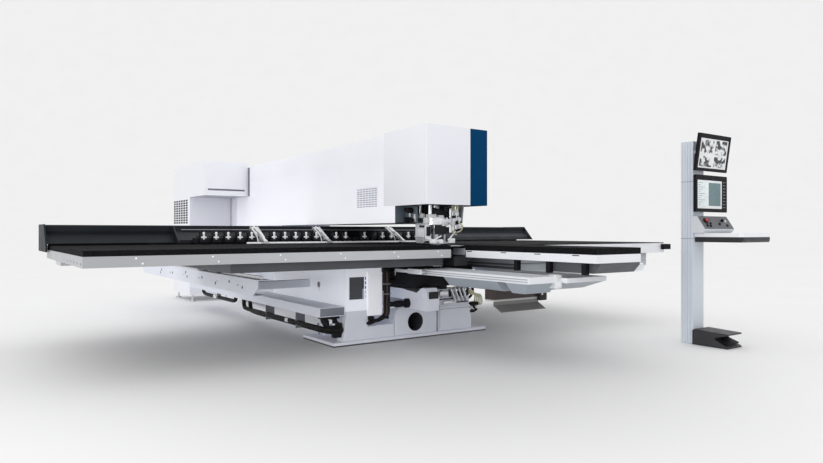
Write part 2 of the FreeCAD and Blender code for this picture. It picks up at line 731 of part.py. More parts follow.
def arm_right_cover():
    """Roof and right side of the arm, one folded sheet that laps the left panel."""
    side = [(d.frame_left, d.arm_top), (d.frame_right, d.arm_top), (d.frame_right, d.cladding_low),
            (d.cladding_right, d.cladding_low), (d.cladding_right, d.cladding_top),
            (d.frame_left, d.cladding_top)]
    sheet = prism("XZ", side, d.arm_front, d.frame_back)
    corner = block((d.frame_left - d.skin, d.cladding_right + d.skin),
                   (d.arm_front - d.skin, d.hood_joint), (d.hood_low, d.cladding_top + d.skin))
    node(cut(sheet, corner), "arm_right_cover")


def head_cover():
    wall = d.hood_wall
    body = new_body()
    pad(body, "XY", rectangle((d.cladding_left, d.cladding_right), (d.hood_front, d.hood_joint)),
        d.hood_low, d.hood_top)
    pocket(body, "XY", d.hood_low, d.hood_top - wall,
           points=rectangle((d.cladding_left + wall, d.cladding_right),
                            (d.hood_front + wall, d.hood_joint)))
    pocket(body, "XY", d.hood_low, d.hood_top,
           points=rectangle((d.blue_left, d.cladding_right), (d.hood_front, d.hood_front + wall)))
    pocket(body, "XY", d.hood_top - wall, d.hood_top,
           points=rectangle((d.cladding_right - wall, d.cladding_right),
                            (d.hood_front, d.hood_joint)))
    whole = round_edges(body, wall * 0.8, along("z", x=[d.cladding_left], y=[d.hood_front]))
    node(whole, "head_cover")


def head_side_panel():
    wall = d.hood_wall
    body = new_body()
    pad(body, "XY", [(d.blue_left, d.hood_front), (d.cladding_right, d.hood_front),
                     (d.cladding_right, d.hood_joint), (d.cladding_right - wall, d.hood_joint),
                     (d.cladding_right - wall, d.hood_front + wall),
                     (d.blue_left, d.hood_front + wall)], d.hood_low, d.hood_top)
    node(body, "head_side_panel")


# Punch head -------------------------------------------------------------------

def head_casting():
    back = d.arm_front
    casting = block((d.casting_left, d.casting_right), (d.casting_front, back),
                    (d.casting_low, d.casting_top))
    casting = round_edges(casting, d.box_chamfer,
                          along("z", y=[d.casting_front]), bevel=True)
    cylinder = rod("z", d.cylinder_radius, (d.punch_x, d.punch_y, d.casting_top),
                   d.cylinder_top - d.casting_top)
    web = block((d.casting_left, d.casting_right), (back - d.web_depth, back),
                (d.arm_under, d.casting_low))
    outer = d.casting_right - d.cheek_taper
    cheek = prism("XZ", [(d.casting_right - d.cheek, d.casting_low),
                         (d.casting_right, d.casting_low), (outer, d.flange_low + d.cheek),
                         (outer - d.cheek, d.flange_low + d.cheek)], d.cheek_front, back)
    bore = rod("z", d.ram_radius + d.run_gap, (d.punch_x, d.punch_y, d.casting_low),
               d.ram_head + d.ram_stroke - d.casting_low)
    node(cut(fuse(casting, cylinder, web, cheek), bore), "head_casting")


def tool_head():
    flange = block((d.flange_left, d.flange_right), (d.flange_front, d.flange_back),
                   (d.flange_low, d.flange_high))
    flange = round_edges(flange, d.box_chamfer, along("z", y=[d.flange_front]), bevel=True)
    changer = block((d.block_left, d.block_right), (d.block_front, d.block_back),
                    (d.block_low, d.flange_low))
    changer = round_edges(changer, d.box_chamfer,
                          along("x", z=[d.block_low], y=[d.block_front, d.block_back]), bevel=True)
    columns = []
    front = d.flange_front + d.column_inset
    for x, y in ((d.column_x, front), (d.column_x, front + d.column_pitch),
                 (d.flange_right - d.column_inset, front)):
        columns.append(rod("z", d.column_radius, (x, y, d.flange_high),
                           d.casting_low - d.flange_high))
    bores = [rod("z", d.ram_radius + d.run_gap, (d.punch_x, d.punch_y, d.flange_low),
                 d.flange_high - d.flange_low)]
    for x, y in rod_circle():
        bores.append(rod("z", d.stripper_rod_radius + d.run_gap, (x, y, d.flange_low),
                         d.flange_high - d.flange_low))
    node(cut(fuse(flange, changer, *columns), *bores), "tool_head")


def rod_circle():
    """Centres of the stripper's guide rods, spread round the punch axis."""
    count = int(d.stripper_rods.value)
    places = []
    for i in range(count):
        angle = math.radians(360.0 * i / count)
        places.append((d.punch_x + d.stripper_rod_circle * math.cos(angle),
                       d.punch_y + d.stripper_rod_circle * math.sin(angle)))
    return places


def valve_block():
    back = d.flange_front
    front = back - d.valve_deep
    manifold = block((d.valve_left, d.valve_right), (front, back), (d.flange_low, d.flange_high))
    barrels = []
    count = int(d.valve_barrels.value)
    for i in range(count):
        x = d.valve_left + (d.valve_right - d.valve_left) * ((i + 0.5) / count)
        low = d.valve_low + d.valve_barrel * i
        barrels.append(rod("z", d.valve_barrel, (x, (front + back) / 2, low),
                           d.valve_high - d.valve_barrel * i - low))
    node(fuse(manifold, *barrels), "valve_block")


def ram_punch():
    """Piston rod, shank and round punch, one turned shape about the punch axis."""
    body = new_body()
    sketch = sketch_on(body, "XZ", 0)
    draw_polygon(sketch, [(0, d.punch_tip), (d.punch_radius, d.punch_tip),
                          (d.punch_radius, d.shank_low), (d.ram_shank, d.shank_low),
                          (d.ram_shank, d.ram_low), (d.ram_radius, d.ram_low),
                          (d.ram_radius, d.ram_head), (0, d.ram_head)])
    turned = body.newObject("PartDesign::Revolution", "turned")
    turned.Profile = sketch
    turned.ReferenceAxis = (sketch, ["V_Axis"])
    turned.Angle = 360
    put(body, d.punch_x, d.punch_y, 0)
    node(body, "ram_punch")


def rotation_ring():
    """Toothed ring that turns the upper tool, with its gaps in a polar pattern."""
    high = d.flange_low - d.run_gap
    low = high - d.ring_high
    body = new_body()
    sketch = sketch_on(body, "XY", low)
    draw_circle(sketch, 0, 0, d.ring_radius)
    draw_circle(sketch, 0, 0, d.ram_radius + d.run_gap)
    disc = body.newObject("PartDesign::Pad", "pad")
    disc.Profile = sketch
    bind(disc, "Length", d.ring_high)
    gap = pocket(body, "XY", low, high,
                 points=rectangle((d.ring_radius - d.tooth_depth, d.ring_radius + d.tooth_gap),
                                  (-d.tooth_gap / 2, d.tooth_gap / 2)))
    teeth = body.newObject("PartDesign::PolarPattern", "teeth")
    teeth.Originals = [gap]
    teeth.Axis = (plane_of(body, "Z_Axis"), [""])
    teeth.Angle = 360
    bind(teeth, "Occurrences", d.ring_teeth)
    body.Tip = teeth
    put(body, d.punch_x, d.punch_y, 0)
    node(body, "rotation_ring")


def stripper():
    disc = rod("z", d.stripper_radius, (d.punch_x, d.punch_y, d.stripper_low), d.stripper_thick)
    top = d.stripper_low + d.stripper_thick
    rods = []
    for x, y in rod_circle():
        rods.append(rod("z", d.stripper_rod_radius, (x, y, top), d.stripper_rod_top - top))
    hole = rod("z", d.stripper_hole, (d.punch_x, d.punch_y, d.stripper_low), d.stripper_thick)
    node(cut(fuse(disc, *rods), hole), "stripper")


def die_holder():
    column = rod("z", d.holder_radius, (d.punch_x, d.punch_y, d.throat_floor),
                 d.insert_low - d.throat_floor)
    insert = block((d.insert_left, d.insert_right), (d.insert_front, d.insert_back),
                   (d.insert_low, d.insert_top))
    ears = []
    for start in (d.insert_left + d.flap_side, d.insert_right - d.flap_side - d.ear):
        ears.append(block((start, start + d.ear),
                          (d.flap_axis_y - d.flap_pin * 1.8, d.insert_front),
                          (d.flap_axis_z - d.flap_pin * 2, d.insert_top)))
    pocket_bore = rod("z", d.die_radius + d.run_gap, (d.punch_x, d.punch_y, d.die_pocket),
                      d.insert_top - d.die_pocket)
    waste = rod("z", d.punch_radius * 1.6, (d.punch_x, d.punch_y, d.throat_floor),
                d.die_pocket - d.throat_floor)
    pin = rod("x", d.flap_pin + d.pin_gap, (d.insert_left, d.flap_axis_y, d.flap_axis_z),
              d.insert_right - d.insert_left)
    node(cut(fuse(column, insert, *ears), pocket_bore, waste, pin), "die_holder")


def die_ring():
    body = new_body()
    sketch = sketch_on(body, "XY", d.die_pocket + d.run_gap)
    draw_circle(sketch, 0, 0, d.die_radius)
    draw_circle(sketch, 0, 0, d.punch_radius + d.die_wall)
    disc = body.newObject("PartDesign::Pad", "pad")
    disc.Profile = sketch
    bind(disc, "Length", d.die_top - d.die_pocket - d.run_gap)
    put(body, d.punch_x, d.punch_y, 0)
    node(body, "die_ring")


def parts_flap():
    left = d.insert_left + d.flap_side
    right = d.insert_right - d.flap_side
    leaf_left = left + d.ear + d.run_gap
    leaf_right = right - d.ear - d.run_gap
    barrel = rod("x", d.flap_pin, (left, d.flap_axis_y, d.flap_axis_z), right - left)
    knuckle = block((leaf_left, leaf_right), (d.flap_axis_y - d.flap_pin * 2, d.flap_axis_y),
                    (d.flap_axis_z - d.flap_pin, d.flap_axis_z + d.flap_pin))
    leaf = block((d.insert_left, d.insert_right),
                 (d.flap_front, d.flap_axis_y - d.flap_pin * 2.2),
                 (d.insert_top - d.flap_thick, d.insert_top))
    neck = block((leaf_left, leaf_right), (d.flap_axis_y - d.flap_pin * 4, d.flap_axis_y),
                 (d.insert_top - d.flap_thick, d.flap_axis_z + d.flap_pin))
    node(fuse(barrel, knuckle, leaf, neck), "parts_flap")


# In front of the frame --------------------------------------------------------

def slug_chute():
    front, bend, low = d.chute_front, d.chute_bend, d.body_floor
    back = d.foot_front - d.seat_gap
    side = [(back, low + 90), (bend, low + 90), (bend + (front - bend) * 0.22, low + 70),
            (bend + (front - bend) * 0.35, low), (front, low),
            (front - 15, low + 130), (front + 30, low + 225), (front + 90, low + 225),
            (front + 172, low + 172), (bend, low + 198), (back, low + 198)]
    body = new_body()
    pad(body, "YZ", side, d.tray_left, d.chute_right)
    pocket(body, "XY", low, low + 60,
           points=rectangle((d.tray_left + d.chute_wall, d.chute_right - d.chute_wall),
                            (front + d.chute_wall, front + 230)))
    pocket(body, "YZ", d.tray_left, d.tray_left + d.chute_wall,
           points=rectangle((front + 20, front + 80), (low + 120, low + 190)))
    node(body, "slug_chute")


def funnel(x, y, mouth_x, mouth_y, low):
    """Tapered hopper under a tray, from the tray's floor down to its mouth."""
    piece = doc.addObject("Part::Wedge", "funnel")
    for name, size in (("Xmin", x[0]), ("Xmax", x[1]), ("Ymin", 0), ("Ymax", d.tray_low - low),
                       ("Zmin", y[0]), ("Zmax", y[1]), ("X2min", mouth_x[0]),
                       ("X2max", mouth_x[1]), ("Z2min", mouth_y[0]), ("Z2max", mouth_y[1])):
        bind(piece, name, size)
    piece.Placement = Placement(Vector(), Rotation(Vector(1, 0, 0), -90))
    return put(piece, 0, 0, d.tray_low)


def part_tray_left():
    wall = d.tray_wall
    back = d.nose_front - d.seat_gap
    body = new_body()
    pad(body, "XZ", [(d.tray_left, d.tray_low), (d.tray_split, d.tray_low),
                     (d.tray_split, d.tray_high), (d.tray_split - wall, d.tray_high),
                     (d.tray_split - wall, d.tray_low + wall),
                     (d.tray_left + d.tray_step, d.tray_low + wall),
                     (d.tray_left + d.tray_step, d.tray_low + d.tray_step),
                     (d.tray_left + wall, d.tray_low + d.tray_step),
                     (d.tray_left + wall, d.tray_high), (d.tray_left, d.tray_high)],
        d.tray_front, back)
    lip = block((d.tray_left, d.tray_split), (d.tray_front, d.tray_front + wall),
                (d.tray_low, d.tray_high))
    mouth = funnel((d.tray_left, d.tray_split), (d.funnel_front, d.funnel_back),
                   (d.tray_left + d.funnel_inset, d.tray_split),
                   (d.funnel_mouth_front, d.funnel_mouth_back), d.funnel_low)
    node(fuse(body, lip, mouth), "part_tray_left")


def part_tray_right():
    wall = d.tray_wall
    left = d.tray_split + d.tray_gap
    body = new_body()
    pad(body, "XZ", [(left, d.tray_low), (d.tray_right, d.tray_low),
                     (d.tray_right, d.tray_flat_high), (d.tray_right - wall, d.tray_flat_high),
                     (d.tray_right - wall, d.tray_low + wall), (left + wall, d.tray_low + wall),
                     (left + wall, d.tray_flat_high), (left, d.tray_flat_high)],
        d.tray_far, d.nose_front - d.seat_gap)
    lip = block((left, d.tray_right), (d.tray_far, d.tray_far + wall),
                (d.tray_low, d.tray_flat_high))
    mouth = funnel((left, d.tray_right), (d.hopper_front, d.hopper_back),
                   (left + d.funnel_inset, d.tray_right - d.funnel_inset),
                   (d.hopper_mouth, d.hopper_mouth + d.funnel_inset), d.hopper_low)
    node(fuse(body, lip, mouth), "part_tray_right")


def scrap_slide():
    """Scrap box under the trays with a bent sheet along its front and an end bracket."""
    box = block((d.slide_left, d.slide_right), (d.slide_front, d.slide_back),
                (d.slide_low, d.slide_high))
    middle = (d.slide_front + d.slide_back) / 2
    half = d.slide_hanger / 2
    hangers = []
    for x in (d.slide_left + d.hanger_inset, d.slide_right - d.hanger_inset):
        hangers.append(block((x - half, x + half), (middle - half, middle + half),
                             (d.slide_high, d.tray_low)))
    end = block((d.slide_right, d.slide_right + d.slide_end), (d.slide_front, d.slide_back),
                (d.slide_low + half, d.slide_high + half))
    thick = d.slide_sheet
    lip = d.slide_low - d.slide_skirt
    sheet = prism("YZ", [(d.slide_front, d.slide_high), (d.slide_front, lip),
                         (d.slide_front - d.slide_reach, lip - d.slide_drop),
                         (d.slide_front - d.slide_reach, lip - d.slide_drop + thick),
                         (d.slide_front - thick, lip + thick),
                         (d.slide_front - thick, d.slide_high)],
                  d.slide_left, d.slide_right)
    node(fuse(box, end, sheet, *hangers), "scrap_slide")


def pneumatic_unit():
    front = d.foot_face + d.skin
    low = d.right_box_top
    tall = block((d.unit_left, d.unit_middle), (front, front + d.unit_depth),
                 (low, d.unit_top))
    short = block((d.unit_middle, d.unit_right), (front, front + d.unit_depth),
                  (low, d.unit_low_top))
    rods = []
    for i in range(2):
        height = d.unit_low_top + d.unit_rod * (2 + 3 * i)
        rods.append(rod("x", d.unit_rod, (d.unit_middle, front + d.unit_lever, height),
                        d.unit_right - d.unit_middle - d.unit_lever))
    lever = prism("XZ", [(d.unit_right - d.unit_lever * 2, low + d.unit_lever),
                         (d.unit_right - d.unit_lever, low + d.unit_lever),
                         (d.unit_right - d.unit_lever * 3, d.unit_top),
                         (d.unit_right - d.unit_lever * 4, d.unit_top)],
                  front - d.skin / 2, front + d.skin * 3)
    node(fuse(tall, short, lever, *rods), "pneumatic_unit")


# Tables -----------------------------------------------------------------------

def bays(left, right, front, back):
    """Pockets under a table frame, spread evenly between its ribs."""
    across = max(1, round((right.value - left.value) / d.bay.value))
    deep = max(1, round((back.value - front.value) / d.bay.value))
    step_x = (right - left - d.rib) / across
    step_y = (back - front - d.rib) / deep
    return across, deep, step_x, step_y


def table_frame(left, right, front, back, joint=d.skirt_low):
    """Welded frame with open bays on its underside, closed by the brush bed."""
    body = new_body()
    pad(body, "XY", rectangle((left, right), (front, back)), d.table_low, joint)
    across, deep, step_x, step_y = bays(left, right, front, back)
    corner_x, corner_y = left + d.rib, front + d.rib
    hole = pocket(body, "XY", d.table_low, joint - d.end_panel,
                  points=rectangle((corner_x, corner_x + step_x - d.rib),
                                   (corner_y, corner_y + step_y - d.rib)))
    rows(body, hole, "X", step_x, across, second=("Y", step_y, deep))
    return body


def brush_bed(left, right, front, back, joint=d.skirt_low):
    """Brush bed with the grooves between its rows of bristles."""
    body = new_body()
    pad(body, "XY", rectangle((left, right), (front, back)), joint, d.table_top)
    count = max(2, int((back.value - front.value) / d.brush_pitch.value))
    first = front + d.brush_pitch / 2
    groove = pocket(body, "XY", d.table_top - d.brush_groove, d.table_top,
                    points=rectangle((left, right), (first, first + d.brush_groove)))
    rows(body, groove, "Y", d.brush_pitch, count)
    return body


def left_table():
    left, right = d.left_table_left, d.left_table_right
    node(table_frame(left, right, d.left_table_front, d.table_back), "left_table_frame")
    bed = brush_bed(left + d.skirt_reveal, right, d.left_table_front + d.skirt_reveal,
                    d.table_back)
    node(bed, "left_table_top")


def right_table():
    left, right = d.right_table_left, d.right_table_right
    frame = table_frame(left, right, d.right_table_front, d.table_back)
    node(frame, "right_table_frame")
    bed = brush_bed(left, right - d.skirt_reveal, d.right_table_front + d.skirt_reveal,
                    d.table_back)
    bumper = block((d.bumper_left, d.bumper_right), (d.bumper_front, d.bumper_back),
                   (d.bumper_low, d.bumper_high))
    corner = block((d.bumper_left, right), (d.right_table_front, d.bumper_back),
                   (d.bumper_low, d.skirt_low))
    node(fuse(bed, cut(bumper, corner)), "right_table_top")


def middle_table():
    left, right = d.middle_left, d.middle_right
    frame = table_frame(left, right, d.middle_front, d.middle_back, d.middle_joint)
    web = block((d.web_left, d.web_left + d.middle_web), (d.web_front, d.middle_back),
                (d.throat_floor, d.table_low))
    brackets = []
    for i in range(int(d.brackets.value)):
        y = d.bracket_first + d.bracket_pitch * i
        brackets.append(block((left, left + d.bracket_wide), (y, y + d.bracket_wide),
                              (d.table_low - d.bracket_drop, d.table_low)))
    edge = d.drip_front, d.table_low - d.rib / 2
    side = [edge, (d.drip_front, d.table_low - d.rib), (d.drip_front + d.rib * 3, d.drip_low),
            (d.drip_back, d.drip_low), (d.drip_back, edge[1])]
    drip = prism("YZ", side, left + d.bracket_wide + d.seat_gap, right + d.drip_proud)
    seat = block((left + d.bracket_wide + d.seat_gap, right), (d.drip_front, d.drip_back),
                 (edge[1], d.table_low))
    rear = block((left, left + d.rib), (d.skirt_back, d.middle_back),
                 (d.table_low, d.skirt_low - d.shallow))
    node(cut(fuse(frame, web, drip, seat), rear), "middle_table_frame")
    node(group(*brackets), "table_brackets")
    bed = brush_bed(left, right, d.middle_front, d.middle_back, d.middle_joint)
    node(bed, "middle_table_top")


def shoe(side, start):
    """Guide shoe that straddles its rail, with a running gap on three faces."""
    middle = guide_rail_x(side)
    body = block((middle - d.shoe_wide / 2, middle + d.shoe_wide / 2),
                 (start, start + d.shoe_long),
                 (d.beam_high + d.guide_height - d.shoe_lip, d.under_low))
    slot = block((middle - d.guide_width / 2 - d.run_gap, middle + d.guide_width / 2 + d.run_gap),
                 (start, start + d.shoe_long),
                 (d.beam_high, d.beam_high + d.guide_height + d.run_gap))
    return cut(body, slot)


def underframe(side, left, right, ends, front, extras):
    """Bars under one table, the beam that carries the cross-rail and the two shoes.

    left and right end the rear beam; ends are those of the shorter front beam."""
    bar = d.under_bar
    middle = guide_rail_x(side)
    first, last = ends
    level = (d.under_low, d.table_low)
    pieces = [block((first, last), (front, front + bar), level),
              block((left, right), (d.rear_beam_front, d.rail_back),
                    (d.under_low, d.rail_low)),
              block((first, first + bar), (front, d.rear_beam_front), level),
              block((last - bar, last), (front, d.rear_beam_front), level),
              block((middle - bar, middle + bar), (front, d.rear_beam_front), level)]
    for start in (d.shoe_first, d.shoe_second):
        pieces.append(shoe(side, start))
    return fuse(*pieces, *extras)


def underframes():
    half = d.nut_half
    nut = block((d.screw_x - half, d.screw_x + half), (d.nut_front, d.nut_front + d.nut_long),
                (d.screw_z - half, d.under_low))
    inset = d.under_bar * 2
    right = d.left_table_right - d.rib
    whole = underframe(-1, d.left_table_left + inset, right,
                       (guide_rail_x(-1) - d.under_reach, right), d.left_table_front + inset, [nut])
    bore = rod("y", d.screw_radius + d.run_gap,
               (d.screw_x, d.left_table_front, d.screw_z), d.rail_back - d.left_table_front)
    node(cut(whole, bore), "left_underframe")
    left = d.right_table_left + d.rib
    whole = underframe(1, left, d.right_table_right - inset,
                       (left, guide_rail_x(1) + d.under_reach), d.right_table_front + inset, [])
    node(whole, "right_underframe")


# Cross-rail -------------------------------------------------------------------

def cross_rail():
    wall = d.rail_wall
    side = [(d.rail_front, d.rail_top - wall), (d.rail_front + wall, d.rail_top),
            (d.rail_back - d.rail_chamfer, d.rail_top), (d.rail_back, d.rail_top - d.rail_chamfer),
            (d.rail_back, d.rail_low), (d.rail_lip, d.rail_low), (d.rail_lip, d.rail_low + wall / 2),
            (d.rail_front, d.rail_shoulder)]
    body = new_body()
    pad(body, "YZ", side, d.rail_left, d.rail_right)
    pocket(body, "YZ", d.rail_left, d.rail_right,
           points=[(d.rail_front + wall, d.rail_low + wall),
                   (d.rail_front + wall, d.rail_top - wall * 2),
                   (d.rail_back - d.rail_chamfer, d.rail_top - wall),
                   (d.rail_back - wall, d.rail_top - d.rail_chamfer - wall),
                   (d.rail_back - wall, d.rail_low + wall)])
    guide = block((d.rail_left, d.rail_right), (d.carriage_face + d.run_gap, d.rail_front + wall),
                  (d.x_guide_low, d.x_guide_high))
    node(fuse(body, guide), "cross_rail")


def rail_end_plates():
    side = [(d.rail_front, d.rail_top + d.rail_wall / 2), (d.rail_back, d.rail_top + d.rail_wall / 2),
            (d.rail_back, d.end_low), (d.end_front, d.end_low), (d.end_front, d.rail_low)]
    left = prism("YZ", side, d.rail_left - d.end_plate, d.rail_left)
    side[2] = (d.rail_back, d.rail_low)
    side[3] = (d.end_front, d.rail_low)
    right = prism("YZ", side[:4], d.rail_right, d.rail_right + d.end_plate)
    node(group(left, right), "rail_end_plates")


# X-carriage -------------------------------------------------------------------

def x_carriage():
    thick = d.carriage_thick
    lip = d.carriage_lip_y
    side = [(d.carriage_face, d.carriage_top), (d.carriage_face, d.carriage_knee),
            (lip, d.carriage_toe), (lip, d.carriage_floor), (lip - thick, d.carriage_floor),
            (lip - thick, d.carriage_toe + thick / 2),
            (d.carriage_face - thick, d.carriage_knee + thick),
            (d.carriage_face - thick, d.carriage_top)]
    plate = prism("YZ", side, d.carriage_left, d.carriage_right)
    cheek = prism("YZ", [(d.carriage_face - thick, d.carriage_top),
                         (d.carriage_face - thick - d.rib, d.carriage_top),
                         (lip - d.carriage_slant, d.carriage_toe),
                         (lip - d.carriage_slant, d.carriage_floor),
                         (lip - thick, d.carriage_floor),
                         (lip - thick, d.carriage_toe + thick / 2),
                         (d.carriage_face - thick, d.carriage_knee + thick)],
                  d.carriage_left, d.carriage_left + d.bracket_plate)
    node(fuse(plate, cheek), "x_carriage")


CLAMP_STATIONS = {"left": 5, "middle": 11, "right": 19}
EMPTY_STATIONS = (14, 16)


def station_x(index):
    return d.station_first + d.station_pitch * index


def tool_magazine():
    """Magazine bar: one fork pocket for each tool station, made as a row."""
    back = d.carriage_lip_y - d.carriage_thick
    body = new_body()
    left = d.station_first - d.magazine_margin
    right = station_x(d.stations - 1) + d.magazine_margin
    pad(body, "XY", rectangle((left, right), (d.magazine_front, back)),
        d.carriage_floor, d.magazine_high)
    half = d.station_slot / 2
    flat = d.holder_stem / 2
    end = d.magazine_front + d.station_deep
    bevel = end - half + flat
    slot = pocket(body, "XY", d.carriage_floor, d.magazine_high,
                  points=[(d.station_first - half, d.magazine_front),
                          (d.station_first + half, d.magazine_front),
                          (d.station_first + half, bevel), (d.station_first + flat, end),
                          (d.station_first - flat, end), (d.station_first - half, bevel)])
    rows(body, slot, "X", d.station_pitch, d.stations)
    gaps = []
    for index in CLAMP_STATIONS.values():
        middle = station_x(index)
        half = d.clamp_wide / 2 + d.seat_gap
        gaps.append(block((middle - half, middle + half), (d.magazine_front, back),
                          (d.carriage_floor, d.magazine_high)))
    node(cut(body, *gaps), "tool_magazine")


def cartridge(x):
    """Tool holder: upright stem with a cross bar, the punch in front and a foot pad."""
    back = d.magazine_front + d.station_deep
    front = back - d.holder_deep
    half = d.holder_stem / 2
    bar = d.holder_bar / 2
    pad_half = d.holder_pad / 2
    stem = block((x - half, x + half), (front, back), (d.holder_pad_low, d.holder_high))
    cross = block((x - bar, x + bar), (d.magazine_front - d.holder_deep, back),
                  (d.holder_bar_low, d.holder_bar_high))
    foot = block((x - pad_half, x + pad_half), (d.magazine_front - d.holder_pad, back),
                 (d.holder_pad_low, d.carriage_floor - d.run_gap))
    tool = rod("z", d.tool_radius, (x, d.magazine_front - d.tool_radius, d.carriage_floor - 1),
               d.holder_high - d.carriage_floor - d.holder_stem)
    return fuse(stem, cross, foot, tool)


def tool_cartridges():
    holders = []
    for index in range(int(d.stations.value)):
        if index not in CLAMP_STATIONS.values() and index not in EMPTY_STATIONS:
            holders.append(cartridge(station_x(index)))
    node(group(*holders), "tool_cartridges")


def clamp_body(x):
    """Cast clamp body: sole under the sheet, a rising arm and the ears of the jaw."""
    half = d.clamp_wide / 2
    back = d.carriage_face - d.carriage_thick
    low_back = d.carriage_lip_y - d.carriage_thick
    pin_y, pin_z = d.clamp_pin_y, d.clamp_pin_z
    inner = half - d.clamp_ear
    sole = prism("YZ", [(d.clamp_front, d.clamp_sole), (low_back, d.clamp_sole),
                        (low_back, d.carriage_toe + d.carriage_thick / 2),
                        (back, d.carriage_knee + d.carriage_thick), (back, d.clamp_top),
                        (back - d.jaw_round * 2, d.clamp_top),
                        (low_back - d.jaw_round / 2, d.clamp_anvil + d.jaw_round * 2),
                        (low_back - d.jaw_round / 2, d.clamp_anvil),
                        (d.clamp_front, d.clamp_anvil)], x - half, x + half)
    ears = []
    reach = d.jaw_round
    for start in (x - half, x + half - d.clamp_ear):
        ears.append(prism("YZ", [(pin_y - reach, pin_z - reach), (pin_y + reach / 2, d.clamp_anvil),
                                 (back - reach * 2, d.clamp_top), (pin_y, pin_z + reach),
                                 (pin_y - reach, pin_z + reach / 2)], start, start + d.clamp_ear))
    slot = block((x - inner, x + inner), (d.clamp_front, pin_y + d.jaw_round + d.seat_gap * 2),
                 (d.clamp_anvil, d.clamp_top))
    bore = rod("x", d.clamp_pin + d.pin_gap, (x - half, pin_y, pin_z), d.clamp_wide)
    return cut(fuse(sole, *ears), slot, bore)


def clamp_jaw(x, name):
    """Rocking upper jaw on its own pin: round hub, sloping arm and flat tip."""
    half = d.clamp_wide / 2
    inner = half - d.clamp_ear - d.run_gap
    pin_y, pin_z = d.clamp_pin_y, d.clamp_pin_z
    tip = d.clamp_anvil + d.jaw_gap
    pin = rod("x", d.clamp_pin, (x - half, pin_y, pin_z), d.clamp_wide)
    hub = rod("x", d.jaw_round, (x - inner, pin_y, pin_z), inner * 2)
    arm = prism("YZ", [(d.clamp_front, tip), (d.clamp_front + d.jaw_round * 2, tip),
                       (pin_y - d.jaw_round / 2, pin_z - d.jaw_round * 0.8),
                       (pin_y, pin_z + d.jaw_round * 0.9), (d.clamp_front, tip + d.jaw_round / 2)],
                x - inner, x + inner)
    node(fuse(pin, hub, arm), name)


def clamps():
    bodies = []
    for index in CLAMP_STATIONS.values():
        bodies.append(clamp_body(station_x(index)))
    node(group(*bodies), "clamp_bodies")
    for side, index in CLAMP_STATIONS.items():
        clamp_jaw(station_x(index), "clamp_jaw_" + side)


# Rear cabinet -----------------------------------------------------------------

def rear_cabinet():
    body = new_body()
    pad(body, "XY", rectangle((d.cabinet_left, d.cladding_left),
                              (d.cabinet_front, d.cabinet_back)), d.cabinet_low, d.cabinet_top)
    hole = pocket(body, "YZ", d.cabinet_left, d.cabinet_left + d.grille_deep,
                  points=rectangle((d.grille_first, d.grille_first + d.grille_long),
                                   (d.grille_low, d.grille_low + d.grille_hole)))
    rows(body, hole, "Y", d.grille_pitch_y, d.grille_columns,
         second=("Z", d.grille_pitch_z, d.grille_rows))
    node(body, "rear_cabinet")


def rear_upper_box():
    body = new_body()
    pad(body, "XY", rectangle((d.cabinet_left, d.cladding_left),
                              (d.upper_front, d.cabinet_back)), d.cabinet_top, d.upper_top)
    pocket(body, "XZ", d.upper_front, d.upper_front + d.recess_deep,
           points=rectangle((d.cabinet_left + d.recess_inset, d.cladding_left - d.recess_inset),
                            (d.recess_low, d.recess_high)))
    node(body, "rear_upper_box")


def rear_feet():
    places = []
    for y in (d.cabinet_front + d.foot_inset, d.cabinet_back - d.foot_inset):
        for x in (d.cabinet_left + d.foot_inset, d.cladding_left - d.foot_inset):
            places.append((x, y, d.cabinet_low))
    for y in (d.column_foot_first, d.column_foot_second):
        for x in (d.frame_left + d.column_foot_inset, d.frame_right - d.column_foot_inset):
            places.append((x, y, d.frame_low))
    feet = []
    for x, y, top in places:
        feet.append(fuse(rod("z", d.foot_radius, (x, y, 0), d.foot_pad),
                         rod("z", d.foot_stem, (x, y, 0), top)))
    node(group(*feet), "rear_feet")


# Console ----------------------------------------------------------------------

def console_post():
    body = new_body()
    pad(body, "XY", rectangle((d.post_left, d.post_right), (d.post_front, d.post_back)),
        0, d.post_top)
    first = d.post_front + d.rib_pitch
    rib = pocket(body, "XY", 0, d.post_top,
                 points=rectangle((d.post_left, d.post_left + d.rib_depth),
                                  (first, first + d.rib_width)))
    rows(body, rib, "Y", d.rib_pitch, d.post_ribs)
    pieces = [body]
    for low in (d.lower_screen_low, d.upper_screen_low):
        height = low + d.screen_high / 2
        for x in (d.yoke_left, d.yoke_right - d.yoke):
            pieces.append(block((x, x + d.yoke), (d.yoke_pin_y - d.yoke_reach, d.post_front),
                                (height - d.yoke, height + d.yoke)))
        pieces.append(rod("x", d.yoke_pin, (d.yoke_left, d.yoke_pin_y, height),
                          d.yoke_right - d.yoke_left))
    node(fuse(*pieces), "console_post")


